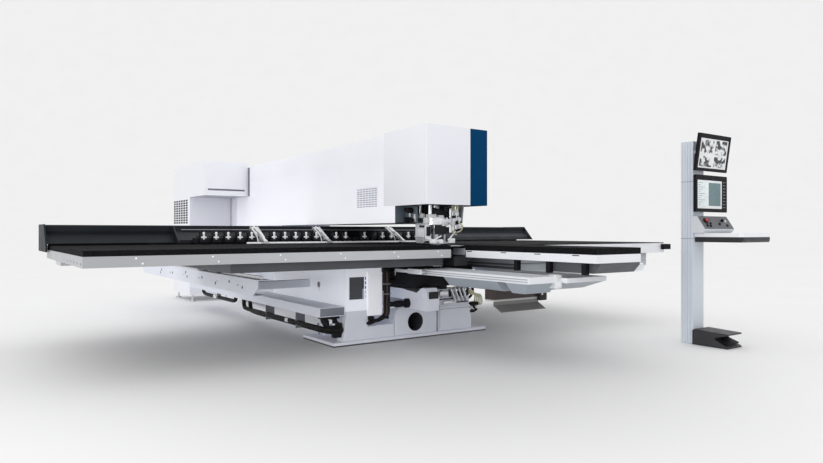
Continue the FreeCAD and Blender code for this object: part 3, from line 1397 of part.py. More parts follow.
def screen(low, tilt, forward, name):
    """Flat monitor with a recessed glass and a rear boss that swings on its pin."""
    height = low + d.screen_high / 2
    half_high = d.screen_high / 2
    back = d.screen_back - d.yoke_pin_y - forward
    front = back - d.screen_thick
    left = d.screen_left
    right = d.screen_right
    border = d.screen_border
    case = block((left, right), (front, back), (-half_high, half_high))
    case = round_edges(case, d.screen_bezel * 2,
                       along("y", x=[left, right], z=[-half_high, half_high]))
    glass = block((left + border, right - border), (front, front + d.screen_bezel),
                  (border - half_high, half_high - border))
    boss = block((d.yoke_left + d.yoke + d.run_gap, d.yoke_right - d.yoke - d.run_gap),
                 (back, d.yoke_reach), (-d.boss_high / 2, d.boss_high / 2))
    bore = rod("x", d.yoke_pin + d.pin_gap, (d.yoke_left, 0, 0), d.yoke_right - d.yoke_left)
    whole = cut(fuse(case, boss), glass, bore)
    whole.Placement = Placement(Vector(), Rotation(Vector(1, 0, 0), 1))
    bind(whole, "Placement.Rotation.Angle", tilt)
    put(whole, 0, d.yoke_pin_y, height)
    node(whole, name)


def panel_point(along_face, rise):
    """A place on the sloping panel face, measured down it and out from it."""
    y = d.panel_back - cosine(d.panel_slope) * along_face - sine(d.panel_slope) * rise
    z = d.panel_top - sine(d.panel_slope) * along_face + cosine(d.panel_slope) * rise
    return y, z


def control_panel():
    front_y, front_z = panel_point(d.panel_face, 0)
    body = new_body()
    pad(body, "YZ", [(d.panel_back, d.panel_top), (front_y, front_z),
                     (front_y, front_z - d.panel_chin / 2), (front_y + d.panel_chin, d.panel_floor),
                     (d.post_front, d.panel_floor), (d.post_front, d.panel_top)],
        d.panel_left, d.panel_right)
    bores = []
    for x, radius in ((d.stop_x, d.stop_stem + d.run_gap), (d.knob_x, d.knob_stem + d.pin_gap)):
        y, z = panel_point(d.stop_along, -d.stop_deep)
        bores.append(tilted_rod(radius, (x, y, z), d.panel_slope, d.stop_deep * 2))
    node(cut(body, *bores), "control_panel")


def e_stop_button():
    y, z = panel_point(d.stop_along, d.stop_rise)
    head = tilted_rod(d.stop_radius, (d.stop_x, y, z), d.panel_slope, d.stop_high)
    head = round_edges(head, d.stop_high / 3, lambda edge: edge.Length > d.stop_radius.value * 4)
    y, z = panel_point(d.stop_along, d.stop_rise - d.stop_deep)
    stem = tilted_rod(d.stop_stem, (d.stop_x, y, z), d.panel_slope, d.stop_deep)
    node(fuse(head, stem), "e_stop_button")


def selector_knob():
    y, z = panel_point(d.stop_along, d.seat_gap)
    cap = tilted_rod(d.knob_radius, (d.knob_x, y, z), d.panel_slope, d.knob_high / 2)
    y, z = panel_point(d.stop_along, d.seat_gap - d.stop_deep * 0.8)
    stem = tilted_rod(d.knob_stem, (d.knob_x, y, z), d.panel_slope, d.stop_deep)
    y, z = panel_point(d.stop_along, d.knob_high / 2)
    grip = doc.addObject("Part::Box", "grip")
    bind(grip, "Length", d.knob_grip)
    bind(grip, "Width", d.knob_radius * 1.7)
    bind(grip, "Height", d.knob_high)
    grip.Placement = Placement(Vector(), Rotation(Vector(1, 0, 0), 1))
    bind(grip, "Placement.Rotation.Angle", d.panel_slope)
    y, z = panel_point(d.stop_along + d.knob_radius * 0.85, d.seat_gap * 2)
    put(grip, d.knob_x - d.knob_grip / 2, y, z)
    node(fuse(cap, stem, grip), "selector_knob")


def console_shelf():
    body = new_body()
    low, high = d.shelf_low, d.shelf_low + d.shelf_thick
    pad(body, "XY", [(d.shelf_left, d.post_front), (d.shelf_left, d.shelf_front + d.shelf_corner),
                     (d.shelf_left + d.shelf_corner, d.shelf_front),
                     (d.shelf_right - d.shelf_corner, d.shelf_front),
                     (d.shelf_right, d.shelf_front + d.shelf_corner),
                     (d.shelf_right, d.post_front)], low, high)
    pocket(body, "YZ", d.shelf_left, d.shelf_right,
           points=[(d.shelf_front, low), (d.shelf_front + d.shelf_cut, low),
                   (d.shelf_front, low + d.shelf_cut)])
    node(body, "console_shelf")


def foot_switch():
    body = new_body()
    pad(body, "YZ", [(d.post_front, 0), (d.post_front, d.switch_high - d.switch_lip),
                     (d.post_front - d.switch_lip * 2, d.switch_high),
                     (d.switch_front, d.switch_nose), (d.switch_front, d.notch_high),
                     (d.notch_y, d.notch_z + d.pedal_barrel),
                     (d.notch_y, d.notch_z - d.pedal_barrel),
                     (d.switch_front, d.notch_low), (d.switch_front, 0)],
        d.switch_left, d.switch_right)
    barrel = rod("x", d.pedal_barrel + d.run_gap,
                 (d.switch_left + d.pedal_inset, d.notch_y, d.notch_z),
                 d.switch_right - d.switch_left - d.pedal_inset * 2)
    axle = rod("x", d.pedal_barrel / 2 + d.pin_gap, (d.switch_left, d.notch_y, d.notch_z),
               d.switch_right - d.switch_left)
    node(cut(body, barrel, axle), "foot_switch")


def foot_pedal():
    left = d.switch_left + d.pedal_inset + d.run_gap
    right = d.switch_right - d.pedal_inset - d.run_gap
    barrel = rod("x", d.pedal_barrel, (left, d.notch_y, d.notch_z), right - left)
    axle = rod("x", d.pedal_barrel / 2, (d.switch_left, d.notch_y, d.notch_z),
               d.switch_right - d.switch_left)
    half = d.pedal_thick / 2
    leaf = prism("YZ", [(d.notch_y, d.notch_z - half), (d.notch_y, d.notch_z + half),
                        (d.pedal_front, d.notch_z - d.pedal_fall),
                        (d.pedal_front, d.notch_z - d.pedal_fall - d.pedal_thick)],
                 left + d.pedal_inset, right - d.pedal_inset)
    node(fuse(barrel, axle, leaf), "foot_pedal")


def check_objects():
    """Stop if any object failed or any piece is empty, broken or misnamed."""
    for thing in doc.Objects:
        if "Invalid" in thing.State or "Error" in thing.State:
            raise RuntimeError("failed object: %s %s" % (thing.Name, thing.Label))
    for thing in NODES:
        shape = thing.Shape
        if shape.isNull() or not shape.isValid() or not shape.Solids:
            raise RuntimeError("broken piece: " + thing.Label)


def write_parts():
    os.makedirs("parts", exist_ok=True)
    for thing in NODES:
        thing.Shape.exportStep("parts/%s.step" % thing.Label)
    print("%d pieces" % len(NODES))


for make in (foot_plate, levelling_screws, centre_housing, c_frame, y_drive_motor, y_ball_screw,
             lower_body_shell, front_service_cover, duct_beam):
    make()
y_beam(-1, (d.body_left, d.frame_left), "y_beam_left")
y_beam(1, (d.frame_right, d.frame_right), "y_beam_right")
for make in (y_guide_rails, arm_left_panel, arm_right_cover, head_cover, head_side_panel,
             head_casting, tool_head, valve_block, ram_punch, rotation_ring, stripper, die_holder,
             die_ring, parts_flap, slug_chute, part_tray_left, part_tray_right, scrap_slide,
             pneumatic_unit, left_table, right_table, middle_table, underframes, cross_rail,
             rail_end_plates, x_carriage, tool_magazine, tool_cartridges, clamps, rear_cabinet,
             rear_upper_box, rear_feet, console_post):
    make()
screen(d.lower_screen_low, as_size(0), as_size(0), "lower_monitor")
screen(d.upper_screen_low, d.screen_tilt, d.screen_forward, "upper_monitor")
for make in (control_panel, e_stop_button, selector_knob, console_shelf, foot_switch, foot_pedal):
    make()
doc.recompute()
check_objects()
write_parts()
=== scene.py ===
import json
import math

import bpy
import numpy as np
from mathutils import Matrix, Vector


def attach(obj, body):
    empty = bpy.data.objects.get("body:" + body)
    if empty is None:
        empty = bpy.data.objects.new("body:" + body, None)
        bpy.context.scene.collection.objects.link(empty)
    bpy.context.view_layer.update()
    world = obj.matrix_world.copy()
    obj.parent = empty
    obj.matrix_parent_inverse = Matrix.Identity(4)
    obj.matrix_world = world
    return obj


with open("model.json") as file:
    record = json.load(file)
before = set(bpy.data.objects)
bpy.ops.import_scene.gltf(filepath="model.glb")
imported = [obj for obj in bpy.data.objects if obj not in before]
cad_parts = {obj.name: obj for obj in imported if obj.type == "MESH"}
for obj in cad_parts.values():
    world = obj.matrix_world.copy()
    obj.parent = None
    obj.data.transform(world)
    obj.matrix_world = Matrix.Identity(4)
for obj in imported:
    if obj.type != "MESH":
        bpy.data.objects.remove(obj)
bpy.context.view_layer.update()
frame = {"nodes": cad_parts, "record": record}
NODES = frame["nodes"]


# Surfaces, drawn in millimetres: piece() brings them to metres ----------------

MM = 0.001
UP_GUIDE, SLANT_GUIDE, STEEP = (0.0, 0.0, 1.0), (0.31, 0.95, 0.05), 0.9
MOST_ROUND, MOST_BEND, DOME_TURN = 0.98, 0.45, 1.4


def grid_faces(rows, columns, close_columns=False):
    """Four-sided faces between neighbours of a grid of points, its rows closed where asked."""
    r = np.arange(rows - 1)[:, None]
    c = np.arange(columns if close_columns else columns - 1)[None, :]
    c2 = (c + 1) % columns
    corners = [r * columns + c, r * columns + c2, (r + 1) * columns + c2, (r + 1) * columns + c]
    return np.stack([a.ravel() for a in np.broadcast_arrays(*corners)], axis=1).tolist()


def tube_faces(rings, sides):
    """Faces of a stack of rings of points, with a flat face at each end."""
    faces = grid_faces(rings, sides, close_columns=True)
    return faces + [list(range(sides))[::-1], list(range((rings - 1) * sides, rings * sides))]


def joined(*shapes):
    """Several (points, faces) shapes as one."""
    points, faces, start = [], [], 0
    for part_points, part_faces in shapes:
        points.append(np.asarray(part_points, float).reshape(-1, 3))
        faces += [[i + start for i in face] for face in part_faces]
        start += len(points[-1])
    return np.concatenate(points), faces


def repeated(shape, places):
    """The same shape at each place: points plus each offset in turn."""
    points, faces = shape
    places = np.asarray(places, float).reshape(-1, 3)
    moved = (places[:, None, :] + points[None, :, :]).reshape(-1, 3)
    count = len(points)
    return moved, [[i + k * count for i in face] for k in range(len(places)) for face in faces]


def block(low, high, radius=6, turns=2):
    """Block with rounded edges: point = side * (half - r) + r * n, where n runs over
    the unit sphere by longitude u and latitude v, and side is the sign of n per axis."""
    low, high = np.asarray(low, float), np.asarray(high, float)
    half = (high - low) / 2
    r = min(radius, half.min() * MOST_ROUND)
    quarter = np.linspace(0, math.pi / 2, turns + 1)
    u = np.concatenate([quarter + k * math.pi / 2 for k in range(4)])
    side_x = np.repeat([1, -1, -1, 1], turns + 1)
    side_y = np.repeat([1, 1, -1, -1], turns + 1)
    v = np.concatenate([quarter - math.pi / 2, quarter])
    side_z = np.repeat([-1, 1], turns + 1)
    cos_v, sin_v = np.cos(v)[:, None], np.sin(v)[:, None]
    x = side_x * (half[0] - r) + r * cos_v * np.cos(u)
    y = side_y * (half[1] - r) + r * cos_v * np.sin(u)
    z = side_z[:, None] * (half[2] - r) + r * sin_v + 0 * u
    points = np.stack([x, y, z], axis=-1).reshape(-1, 3) + (low + high) / 2
    return points, tube_faces(len(v), len(u))


def blocks(*rows):
    """Blocks as one shape, from rows of low corner, high corner, radius and turns."""
    return joined(*(block(*row) for row in rows))


AXES = {"x": (1, 2, 0), "y": (2, 0, 1), "z": (0, 1, 2)}


def turned(profile, centre=(0, 0, 0), axis="z", sides=24):
    """Turned part: profile rows are (radius, height); a point is centre + radius * (cos,
    sin) of the angle round the axis, at its height on the axis."""
    profile = np.asarray(profile, float)
    angle = np.arange(sides) * 2 * math.pi / sides
    i, j, k = AXES[axis]
    points = np.zeros((len(profile), sides, 3))
    points[..., i] = profile[:, :1] * np.cos(angle)
    points[..., j] = profile[:, :1] * np.sin(angle)
    points[..., k] = profile[:, 1:]
    return points.reshape(-1, 3) + np.asarray(centre, float), tube_faces(len(profile), sides)


def smooth_path(points, steps=10):
    """Smooth line through points: between b and c, p(t) = (2b + (c - a) t + (2a - 5b +
    4c - d) t^2 + (3b - a - 3c + d) t^3) / 2, with one more point in line beyond each end."""
    p = np.asarray(points, float)
    p = np.concatenate([2 * p[:1] - p[1:2], p, 2 * p[-1:] - p[-2:-1]])
    a, b, c, d = (p[i:len(p) - 3 + i][:, None, :] for i in range(4))
    t = np.linspace(0, 1, steps, endpoint=False)[None, :, None]
    curve = (
        2 * b + (c - a) * t + (2 * a - 5 * b + 4 * c - d) * t ** 2 + (3 * b - a - 3 * c + d) * t ** 3
    ) / 2
    return np.concatenate([curve.reshape(-1, 3), p[-2:-1]])


def carried(outline, path, scale=None):
    """Outline carried along a path: at each path point the outline's (u, v) lie on the
    side and up vectors square to the path's direction, times the scale at that point.
    The side is square to a guide too, which slants where the path climbs steeply."""
    path, outline = np.asarray(path, float), np.asarray(outline, float)
    tangent = np.gradient(path, axis=0)
    tangent /= np.linalg.norm(tangent, axis=1)[:, None]
    guide = SLANT_GUIDE if abs(tangent[:, 2]).max() > STEEP else UP_GUIDE
    side = np.cross(tangent, guide)
    side /= np.linalg.norm(side, axis=1)[:, None]
    up = np.cross(side, tangent)
    size = np.ones(len(path)) if scale is None else np.asarray(scale, float)
    ring = outline[None, :, :] * size[:, None, None]
    points = path[:, None, :] + ring[..., :1] * side[:, None, :] + ring[..., 1:] * up[:, None, :]
    return points.reshape(-1, 3), tube_faces(len(path), len(outline))


def ring_outline(radius, sides=12):
    """Circle as an outline: (radius cos a, radius sin a)."""
    a = np.arange(sides) * 2 * math.pi / sides
    return np.stack([radius * np.cos(a), radius * np.sin(a)], axis=1)


def hose(points, radius, sides=12, steps=10, rib=0.0, pitch=20):
    """Hose along a smooth path; its radius swells as 1 + rib * cos(2 pi s / pitch)."""
    path = smooth_path(points, steps)
    if rib:
        length = np.concatenate([[0], np.cumsum(np.linalg.norm(np.diff(path, axis=0), axis=1))])
        fine = np.arange(0, length[-1], pitch / 4)
        path = np.stack([np.interp(fine, length, path[:, k]) for k in range(3)], axis=1)
        return carried(ring_outline(radius, sides), path, 1 + rib * np.cos(fine * 2 * math.pi / pitch))
    return carried(ring_outline(radius, sides), path)


def folded(outline, axis, low, high, radius=0.0, turns=3):
    """Bar or folded sheet: an outline with its corners rounded, carried straight along
    one axis. A corner p with legs to a and b is p + r * (leg mix) on a quarter bend."""
    p = np.asarray(outline, float)
    if radius:
        before, after = np.roll(p, 1, axis=0) - p, np.roll(p, -1, axis=0) - p
        length_b = np.linalg.norm(before, axis=1)[:, None]
        length_a = np.linalg.norm(after, axis=1)[:, None]
        r = np.minimum(radius, MOST_BEND * np.minimum(length_b, length_a))
        start, end = p + before / length_b * r, p + after / length_a * r
        t = np.linspace(0, 1, turns + 1)[None, :, None]
        p = (
            (1 - t) ** 2 * start[:, None] + 2 * t * (1 - t) * p[:, None] + t ** 2 * end[:, None]
        ).reshape(-1, 2)
    i, j, k = AXES[axis]
    points = np.zeros((2, len(p), 3))
    points[..., i], points[..., j] = p[:, 0], p[:, 1]
    points[0, :, k], points[1, :, k] = low, high
    return points.reshape(-1, 3), tube_faces(2, len(p))


def heads(places, radius, high, axis="y", way=-1, sides=8):
    """Domed screw heads: radius r cos t at height h sin t, for t nearly up to a quarter turn."""
    t = np.linspace(0, DOME_TURN, 4)
    profile = np.stack([radius * np.cos(t), way * high * np.sin(t)], axis=1)[::way]
    return repeated(turned(profile, axis=axis, sides=sides), places)


def set_on(shape, origin, across, up):
    """A shape laid on a plane: x runs across, y runs up and z stands off it."""
    points, faces = shape
    across, up = np.asarray(across, float), np.asarray(up, float)
    turn = np.stack([across, up, np.cross(across, up)])
    return points @ turn + np.asarray(origin, float), faces


def rod(start, end, radius, sides=12):
    """Straight round bar: a circle carried from one point to another."""
    return carried(ring_outline(radius, sides), np.linspace(start, end, 2))


SHARP_ANGLE = math.radians(40)


def added(name, data):
    """New object in the scene."""
    thing = bpy.data.objects.new(name, data)
    bpy.context.scene.collection.objects.link(thing)
    return thing


def piece(name, shape, finish, body="frame"):
    """Put a shape into the scene as a piece with a finish that rides on a body."""
    points, faces = shape
    mesh = bpy.data.meshes.new(name)
    mesh.from_pydata((points * MM).tolist(), [], faces)
    mesh.validate()
    mesh.shade_smooth()
    mesh.set_sharp_from_angle(angle=SHARP_ANGLE)
    mesh.materials.append(finish.material)
    thing = added(name, mesh)
    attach(thing, body)


# Finishes ---------------------------------------------------------------------

SHEEN, COLOUR, ROUGH = "Specular IOR Level", "Base Color", "Roughness"
GLOW, GLOW_COLOUR = "Emission Strength", "Emission Color"
# The sockets of a colour mix, by number: their names are shared with the other kinds.
MIX_FACTOR, MIX_FIRST, MIX_SECOND, MIX_RESULT = 0, 6, 7, 2
EDGE_SOFT = 0.001


class Finish:
    """A material under construction: nodes, links and the principled shader."""

    def __init__(self, name, colour, roughness=0.5, metallic=0.0):
        self.material = bpy.data.materials.new(name)
        self.material.use_nodes = True
        self.nodes = self.material.node_tree.nodes
        self.links = self.material.node_tree.links
        self.shader = self.nodes["Principled BSDF"]
        self.colour = colour
        self.put(COLOUR, (*colour, 1)).put(ROUGH, roughness).put("Metallic", metallic)
        self.place = self.node("TexCoord").outputs["Object"]

    def feed(self, socket, value):
        """Link another node's output to an input, or set a plain value there."""
        if isinstance(value, bpy.types.NodeSocket):
            self.links.new(value, socket)
        else:
            socket.default_value = value

    def put(self, name, value):
        """Feed one input of the principled shader."""
        self.feed(self.shader.inputs[name], value)
        return self

    def node(self, kind, **inputs):
        """New node, its inputs fed by name."""
        made = self.nodes.new("ShaderNode" + kind)
        for name, value in inputs.items():
            self.feed(made.inputs[name.replace("_", " ")], value)
        return made

    def noise(self, scale, detail=3.0, stretch=None):
        """Cloudy factor; its coordinates are stretched per axis where asked."""
        place = self.place
        if stretch:
            place = self.node("Mapping", Vector=place, Scale=stretch).outputs["Vector"]
        return self.node("TexNoise", Vector=place, Scale=scale, Detail=detail).outputs["Fac"]

    def spread(self, factor, low, high, start=0.3, end=0.7):
        """Map a factor from one range to another."""
        return self.node(
            "MapRange", Value=factor, From_Min=start, From_Max=end, To_Min=low,
            To_Max=high).outputs["Result"]

    def maths(self, operation, first, second):
        """Result of an operation on two values."""
        made = self.node("Math")
        made.operation = operation
        self.feed(made.inputs[0], first)
        self.feed(made.inputs[1], second)
        return made.outputs[0]

    def blend(self, factor, first, second):
        """Colour between two colours by a factor."""
        made = self.node("Mix")
        made.data_type = "RGBA"
        self.feed(made.inputs[MIX_FACTOR], factor)
        for number, value in ((MIX_FIRST, first), (MIX_SECOND, second)):
            self.feed(made.inputs[number], (*value, 1) if isinstance(value, tuple) else value)
        return made.outputs[MIX_RESULT]

    def tint(self, factor, amount):
        """Vary the base colour lighter and darker by a factor from 0 to 1."""
        dark = tuple(c * (1 - amount) for c in self.colour)
        light = tuple(min(1.0, c * (1 + amount)) for c in self.colour)
        return self.put(COLOUR, self.blend(self.spread(factor, 0, 1), dark, light))

    def rough(self, factor, low, high):
        """Vary the roughness by a factor."""
        return self.put(ROUGH, self.spread(factor, low, high))

    def relief(self, height, strength, distance):
        """Fine relief from a factor that stands for height."""
        bump = self.node("Bump", Strength=strength, Distance=distance, Height=height)
        return self.put("Normal", bump.outputs["Normal"])

    def axis(self, name):
        """One of the object coordinates X, Y and Z."""
        return self.node("SeparateXYZ", Vector=self.place).outputs[name]

    def above(self, place, axis="Z"):
        """Factor that is 0 below a place on one axis and 1 above it."""
        return self.spread(self.axis(axis), 0, 1, place - EDGE_SOFT, place + EDGE_SOFT)

    def below(self, place, axis="Z"):
        """Factor that is 1 below a place on one axis and 0 above it."""
        return self.maths("SUBTRACT", 1, self.above(place, axis))


def repaint(made, mask, colour):
    """Where the mask is 1, the finish takes a second colour."""
    before = made.shader.inputs[COLOUR].links[0].from_socket
    return made.put(COLOUR, made.blend(mask, before, colour))


def inside(made, low, high):
    """Mask of a box: 1 between its two corners; None leaves a side open."""
    mask = 1.0
    for axis, start, end in zip("XYZ", low, high):
        for place, side in ((start, made.above), (end, made.below)):
            if place is not None:
                mask = made.maths("MULTIPLY", side(place, axis), mask)
    return mask


def with_painted_glow(made, strength):
    """A finish with painted glow: it gives back a little light of its own, though it is no lamp, to
    brighten a pale sheet.
    """
    return made.put(GLOW_COLOUR, (0.93, 0.95, 1.0, 1)).put(GLOW, strength)


def paint_finish(name, colour, roughness=0.42, orange=0.12, shade=0.05, coat=0.15):
    """Powder-coated sheet: faint cloudiness, orange-peel relief and a little gloss."""
    made = Finish(name, colour, roughness)
    made.tint(made.noise(1.7, 4.0), shade)
    made.rough(made.noise(6.0, 5.0), roughness - 0.07, roughness + 0.08)
    made.relief(made.noise(420.0, 2.0), orange, 0.0006)
    return made.put("Coat Weight", coat).put("Coat Roughness", 0.25)


def metal_finish(name, colour, roughness=0.3, stretch=(1, 1, 60), shade=0.1, relief=0.12):
    """Machined metal: streaks along one way, roughness and tone that follow them."""
    made = Finish(name, colour, roughness, 1.0)
    streaks = made.noise(9.0, 6.0, stretch)
    made.tint(streaks, shade)
    made.rough(streaks, roughness - 0.08, roughness + 0.12)
    return made.relief(made.noise(60.0, 4.0, stretch), relief, 0.0004)


def plastic_finish(name, colour, roughness=0.5, grain=500.0, relief=0.25):
    """Moulded plastic: fine even grain and slightly worn gloss."""
    made = Finish(name, colour, roughness)
    made.tint(made.noise(5.0, 4.0), 0.12)
    made.rough(made.noise(14.0, 4.0), roughness - 0.08, roughness + 0.1)
    return made.relief(made.noise(grain, 2.0), relief, 0.0005)


def brush_finish(name, sheen):
    """Rows of bristle tufts: round dots on a fine grid, dark between, soft tips."""
    made = Finish(name, (0.008, 0.008, 0.009), 0.85).put(SHEEN, sheen)
    dots = made.node("TexVoronoi", Vector=made.place, Scale=90.0, Randomness=0.35)
    tips = made.spread(dots.outputs["Distance"], 1, 0, 0.1, 0.6)
    made.put(COLOUR, made.blend(tips, (0.004, 0.004, 0.005), (0.02, 0.02, 0.022)))
    return made.relief(tips, 0.5, 0.003)


def picture_finish():
    """Plain screen field: soft dark shapes over pale grey."""
    made = Finish("field_grey", (0.4, 0.4, 0.42), 0.3)
    shapes = made.spread(made.noise(16.0, 3.0), 0, 1, 0.46, 0.54)
    return made.put(COLOUR, made.blend(shapes, (0.02, 0.022, 0.025), (0.8, 0.82, 0.84)))


FRAME_TONE, COVER_TONE, SKIRT_TONE = (0.76, 0.79, 0.87), (0.87, 0.875, 0.935), (0.84, 0.85, 0.89)
# SHADE_TONE and the underside colour are painted shade, for faces that lie in shade.
SHADE_TONE, UNDERSIDE_SHADE, NEAR_BLACK = (0.13, 0.16, 0.19), (0.075, 0.078, 0.088), (0.012, 0.012, 0.015)

FRAME_PAINT = paint_finish("frame_paint", FRAME_TONE, 0.45, 0.2)
COVER_WHITE = paint_finish("cover_white", COVER_TONE, 0.38, 0.12, 0.02)
PANEL_BLUE = paint_finish("panel_blue", (0.0, 0.046, 0.134), 0.5, 0.1, 0.05, 0.0).put(SHEEN, 0.04)
PANEL_GREY = paint_finish("panel_grey", (0.085, 0.09, 0.105), 0.45, 0.3)
STEEL = metal_finish("machined_steel", (0.62, 0.63, 0.66), 0.3)
BRIGHT = metal_finish("bright_aluminium", (0.86, 0.87, 0.9), 0.28, (1, 30, 1))
CASTING = paint_finish("casting_grey", (0.3, 0.31, 0.35), 0.55, 0.5)
BLACK_METAL = paint_finish("rail_dark", (0.013, 0.014, 0.018), 0.42, 0.15, 0.2, 0.08).put(SHEEN, 0.25)
BLACK = plastic_finish("black_plastic", NEAR_BLACK, 0.45).put(SHEEN, 0.08)
RED = plastic_finish("button_red", (0.34, 0.016, 0.016), 0.3, 300.0, 0.1)
BRUSH = brush_finish("brush_black", 0.08)
WHITE = plastic_finish("white_plastic", (0.8, 0.81, 0.82), 0.4, 400.0, 0.1)
# The holders' bright paint carries a painted glow, light of its own though it is no lamp.
HOLDER_GLOW = paint_finish("holder_painted_glow", (0.86, 0.87, 0.89), 0.3, 0.05, 0.04, 0.3)
HOLDER_GLOW.put(GLOW_COLOUR, (1, 1, 1, 1)).put(GLOW, 0.12)
CLAMP_METAL = metal_finish("clamp_silver", (0.8, 0.8, 0.82), 0.36, (1, 25, 1), 0.3, 0.3)
ZINC = metal_finish("zinc_plated", (0.7, 0.7, 0.72), 0.36, (1, 1, 8), 0.2)
RUBBER = plastic_finish("hose_black", (0.011, 0.01, 0.01), 0.5).put(SHEEN, 0.15)
BROWN_RUBBER = plastic_finish("hose_brown", (0.045, 0.028, 0.02), 0.5)
YELLOW_TUBE = plastic_finish("tube_cream", (0.62, 0.6, 0.44), 0.4)
# Near black painted shade, set in gaps, holes, slots and windows where shade falls.
SHADE_BLACK = paint_finish("painted_shade_black", (0.012, 0.012, 0.014), 0.7, 0.2, 0.3, 0.0)
# Dark painted shade for the plate inside the shell's window.
WINDOW_SHADE = paint_finish("window_painted_shade", UNDERSIDE_SHADE, 0.6, 0.2, 0.1, 0.0)
# Dark grey for real joint lines, and as painted shade in a recess line and a shadow gap.
SEAM_AND_SHADE = paint_finish("seam_and_shade_grey", (0.2, 0.21, 0.23), 0.6, 0.1, 0.2, 0.0)
TEAL_FIELD = plastic_finish("field_teal", (0.12, 0.2, 0.22), 0.3, 60.0, 0.0)
PALE_FIELD = plastic_finish("field_pale", (0.78, 0.86, 0.87), 0.3, 60.0, 0.0)
FIELD_GREY = picture_finish()
SHADED_PLATE = paint_finish("side_plate_shaded", SHADE_TONE, 0.5, 0.2, 0.1, 0.0)
DUCT_END = paint_finish("duct_end_grey", (0.19, 0.205, 0.24), 0.5, 0.1, 0.1)
RIB_GREY = paint_finish("rib_grey", (0.42, 0.44, 0.47), 0.5, 0.1, 0.1)
FOOT_GREY = plastic_finish("foot_grey", (0.024, 0.024, 0.028), 0.5)

FINISH_OF_SLOT = {
    "frame_paint": FRAME_PAINT, "cover_white": COVER_WHITE, "panel_blue": PANEL_BLUE,
    "panel_grey": PANEL_GREY, "machined_steel": STEEL, "bright_aluminium": BRIGHT,
    "casting_grey": CASTING, "rail_dark": BLACK_METAL, "brush_black": BRUSH, "plastic_black": BLACK,
    "button_red": RED}

# Places where a finish changes, in metres as the object coordinates are.
FRONT_X, FRONT_Y, COVER_FRONT_Y = -0.2465, -0.283, -0.308
PORT_X, PORT_Z, PORT_R = 0.03, 0.167, 0.105
PANEL_TOP_Y, PANEL_TOP_Z = -2.272, 1.273
PANEL_UP, PANEL_OUT = (0.0, 0.5446, 0.8387), (0.0, -0.8387, 0.5446)
APRON_RAMP, APRON_FOLD_Z = (1.6, 2.6), 0.7105
SHELF_SLAB_Z, TRAY_EDGE_Z, PLATE_SHADOW_Z = 1.066, 0.688, 0.012
SLIDE_BAND_Z, SLIDE_MOUTH_Z = 0.497, 0.514
CHEEK_X, BOX_SIDE_X = 0.372, -0.9162


def skirt_finish(name, colour, low, high):
    """Table frame: painted skirts on the outside, a little darker at the far left end as painted shade,
    and dark inside their box as painted shade.
    """
    made = paint_finish(name, colour, 0.45, 0.1, 0.05)
    far_left_shade = made.spread(made.axis("X"), 1, 0, -3.0, -1.4)
    made = repaint(made, far_left_shade, tuple(0.76 * c for c in colour))
    return repaint(made, inside(made, low, high), UNDERSIDE_SHADE)


def middle_skirt():
    """Middle table frame: white skirts, with painted shade inside them and behind the left table's
    edge.
    """
    made = skirt_finish("skirt_middle", SKIRT_TONE, (0.2455, -2.4755, None), (0.8155, 2.3975, 0.9295))
    return repaint(made, inside(made, (None, -0.857, None), (0.25, None, None)), (0.06, 0.06, 0.065))


def right_top():
    """Right table bed: black brushes over a white edge, with a black bumper in front."""
    made = brush_finish("brush_white_edge", 0.15)
    return repaint(made, inside(made, (None, -1.1005, None), (3.2505, None, 0.977)), SKIRT_TONE)


def shelf_finish():
    """Console shelf: white slab over a black band."""
    made = plastic_finish("shelf_black", (0.013, 0.013, 0.016), 0.45)
    return repaint(made, made.above(SHELF_SLAB_Z), (0.86, 0.87, 0.9))


def tray_finish():
    """Sheet tray: white edges over a darker blue-grey underside, which is painted shade."""
    made = paint_finish("tray_sheet", (0.8, 0.82, 0.86), 0.35, 0.1, 0.05)
    return repaint(made, made.below(TRAY_EDGE_Z), (0.36, 0.4, 0.45))


def slide_finish():
    """Scrap slide: brown-black mouth, light band and a grey sheet below."""
    made = paint_finish("slide_sheet", (0.17, 0.165, 0.16), 0.5, 0.2, 0.2)
    made = repaint(made, made.above(SLIDE_BAND_Z), (0.5, 0.5, 0.5))
    return repaint(made, made.above(SLIDE_MOUTH_Z), (0.04, 0.024, 0.022))


def throat_finish():
    """Frame paint with painted shade: near black where the lower jaw lies in the shade of the tables,
    and dark grey on the arm's narrow front."""
    made = paint_finish("frame_shaded", FRAME_TONE, 0.6, 0.2, coat=0.0).put(SHEEN, 0.12)
    jaw = inside(made, (-0.39, -0.7, 0.48), (None, 0.6, 0.8))
    made = repaint(made, jaw, (0.01, 0.01, 0.012))
    return repaint(made, inside(made, (FRONT_X, -0.33, 1.2), (-0.1, -0.3, 1.4)), SHADE_TONE)


def shell_finish():
    """Lower body shell: pale paint with a painted glow, and its window dark inside with painted shade.
    """
    made = with_painted_glow(paint_finish("shell_paint_glow_and_shade", (0.78, 0.81, 0.89), 0.45, 0.2), 0.25)
    window = inside(made, (-0.777, FRONT_Y, 0.438), (-0.6, 0.6, 0.67))
    made.put(GLOW, made.spread(window, 0.25, 0.0, 0, 1))
    return repaint(made, window, (0.05, 0.053, 0.065))


def arm_finish():
    """Arm cladding: white, with a painted glow that grows towards its lower edge, and dark grey painted
    shade on its narrow front.
    """
    made = with_painted_glow(paint_finish("arm_white_glow_and_shade", COVER_TONE, 0.38, 0.12, 0.02), 0.06)
    low = made.spread(made.axis("Z"), 0.22, 0.05, 1.3, 1.9)
    front = inside(made, (FRONT_X, None, None), (None, COVER_FRONT_Y, 1.4))
    made.put(GLOW, made.maths("MULTIPLY", low, made.maths("SUBTRACT", 1, front)))
    return repaint(made, front, SHADE_TONE)


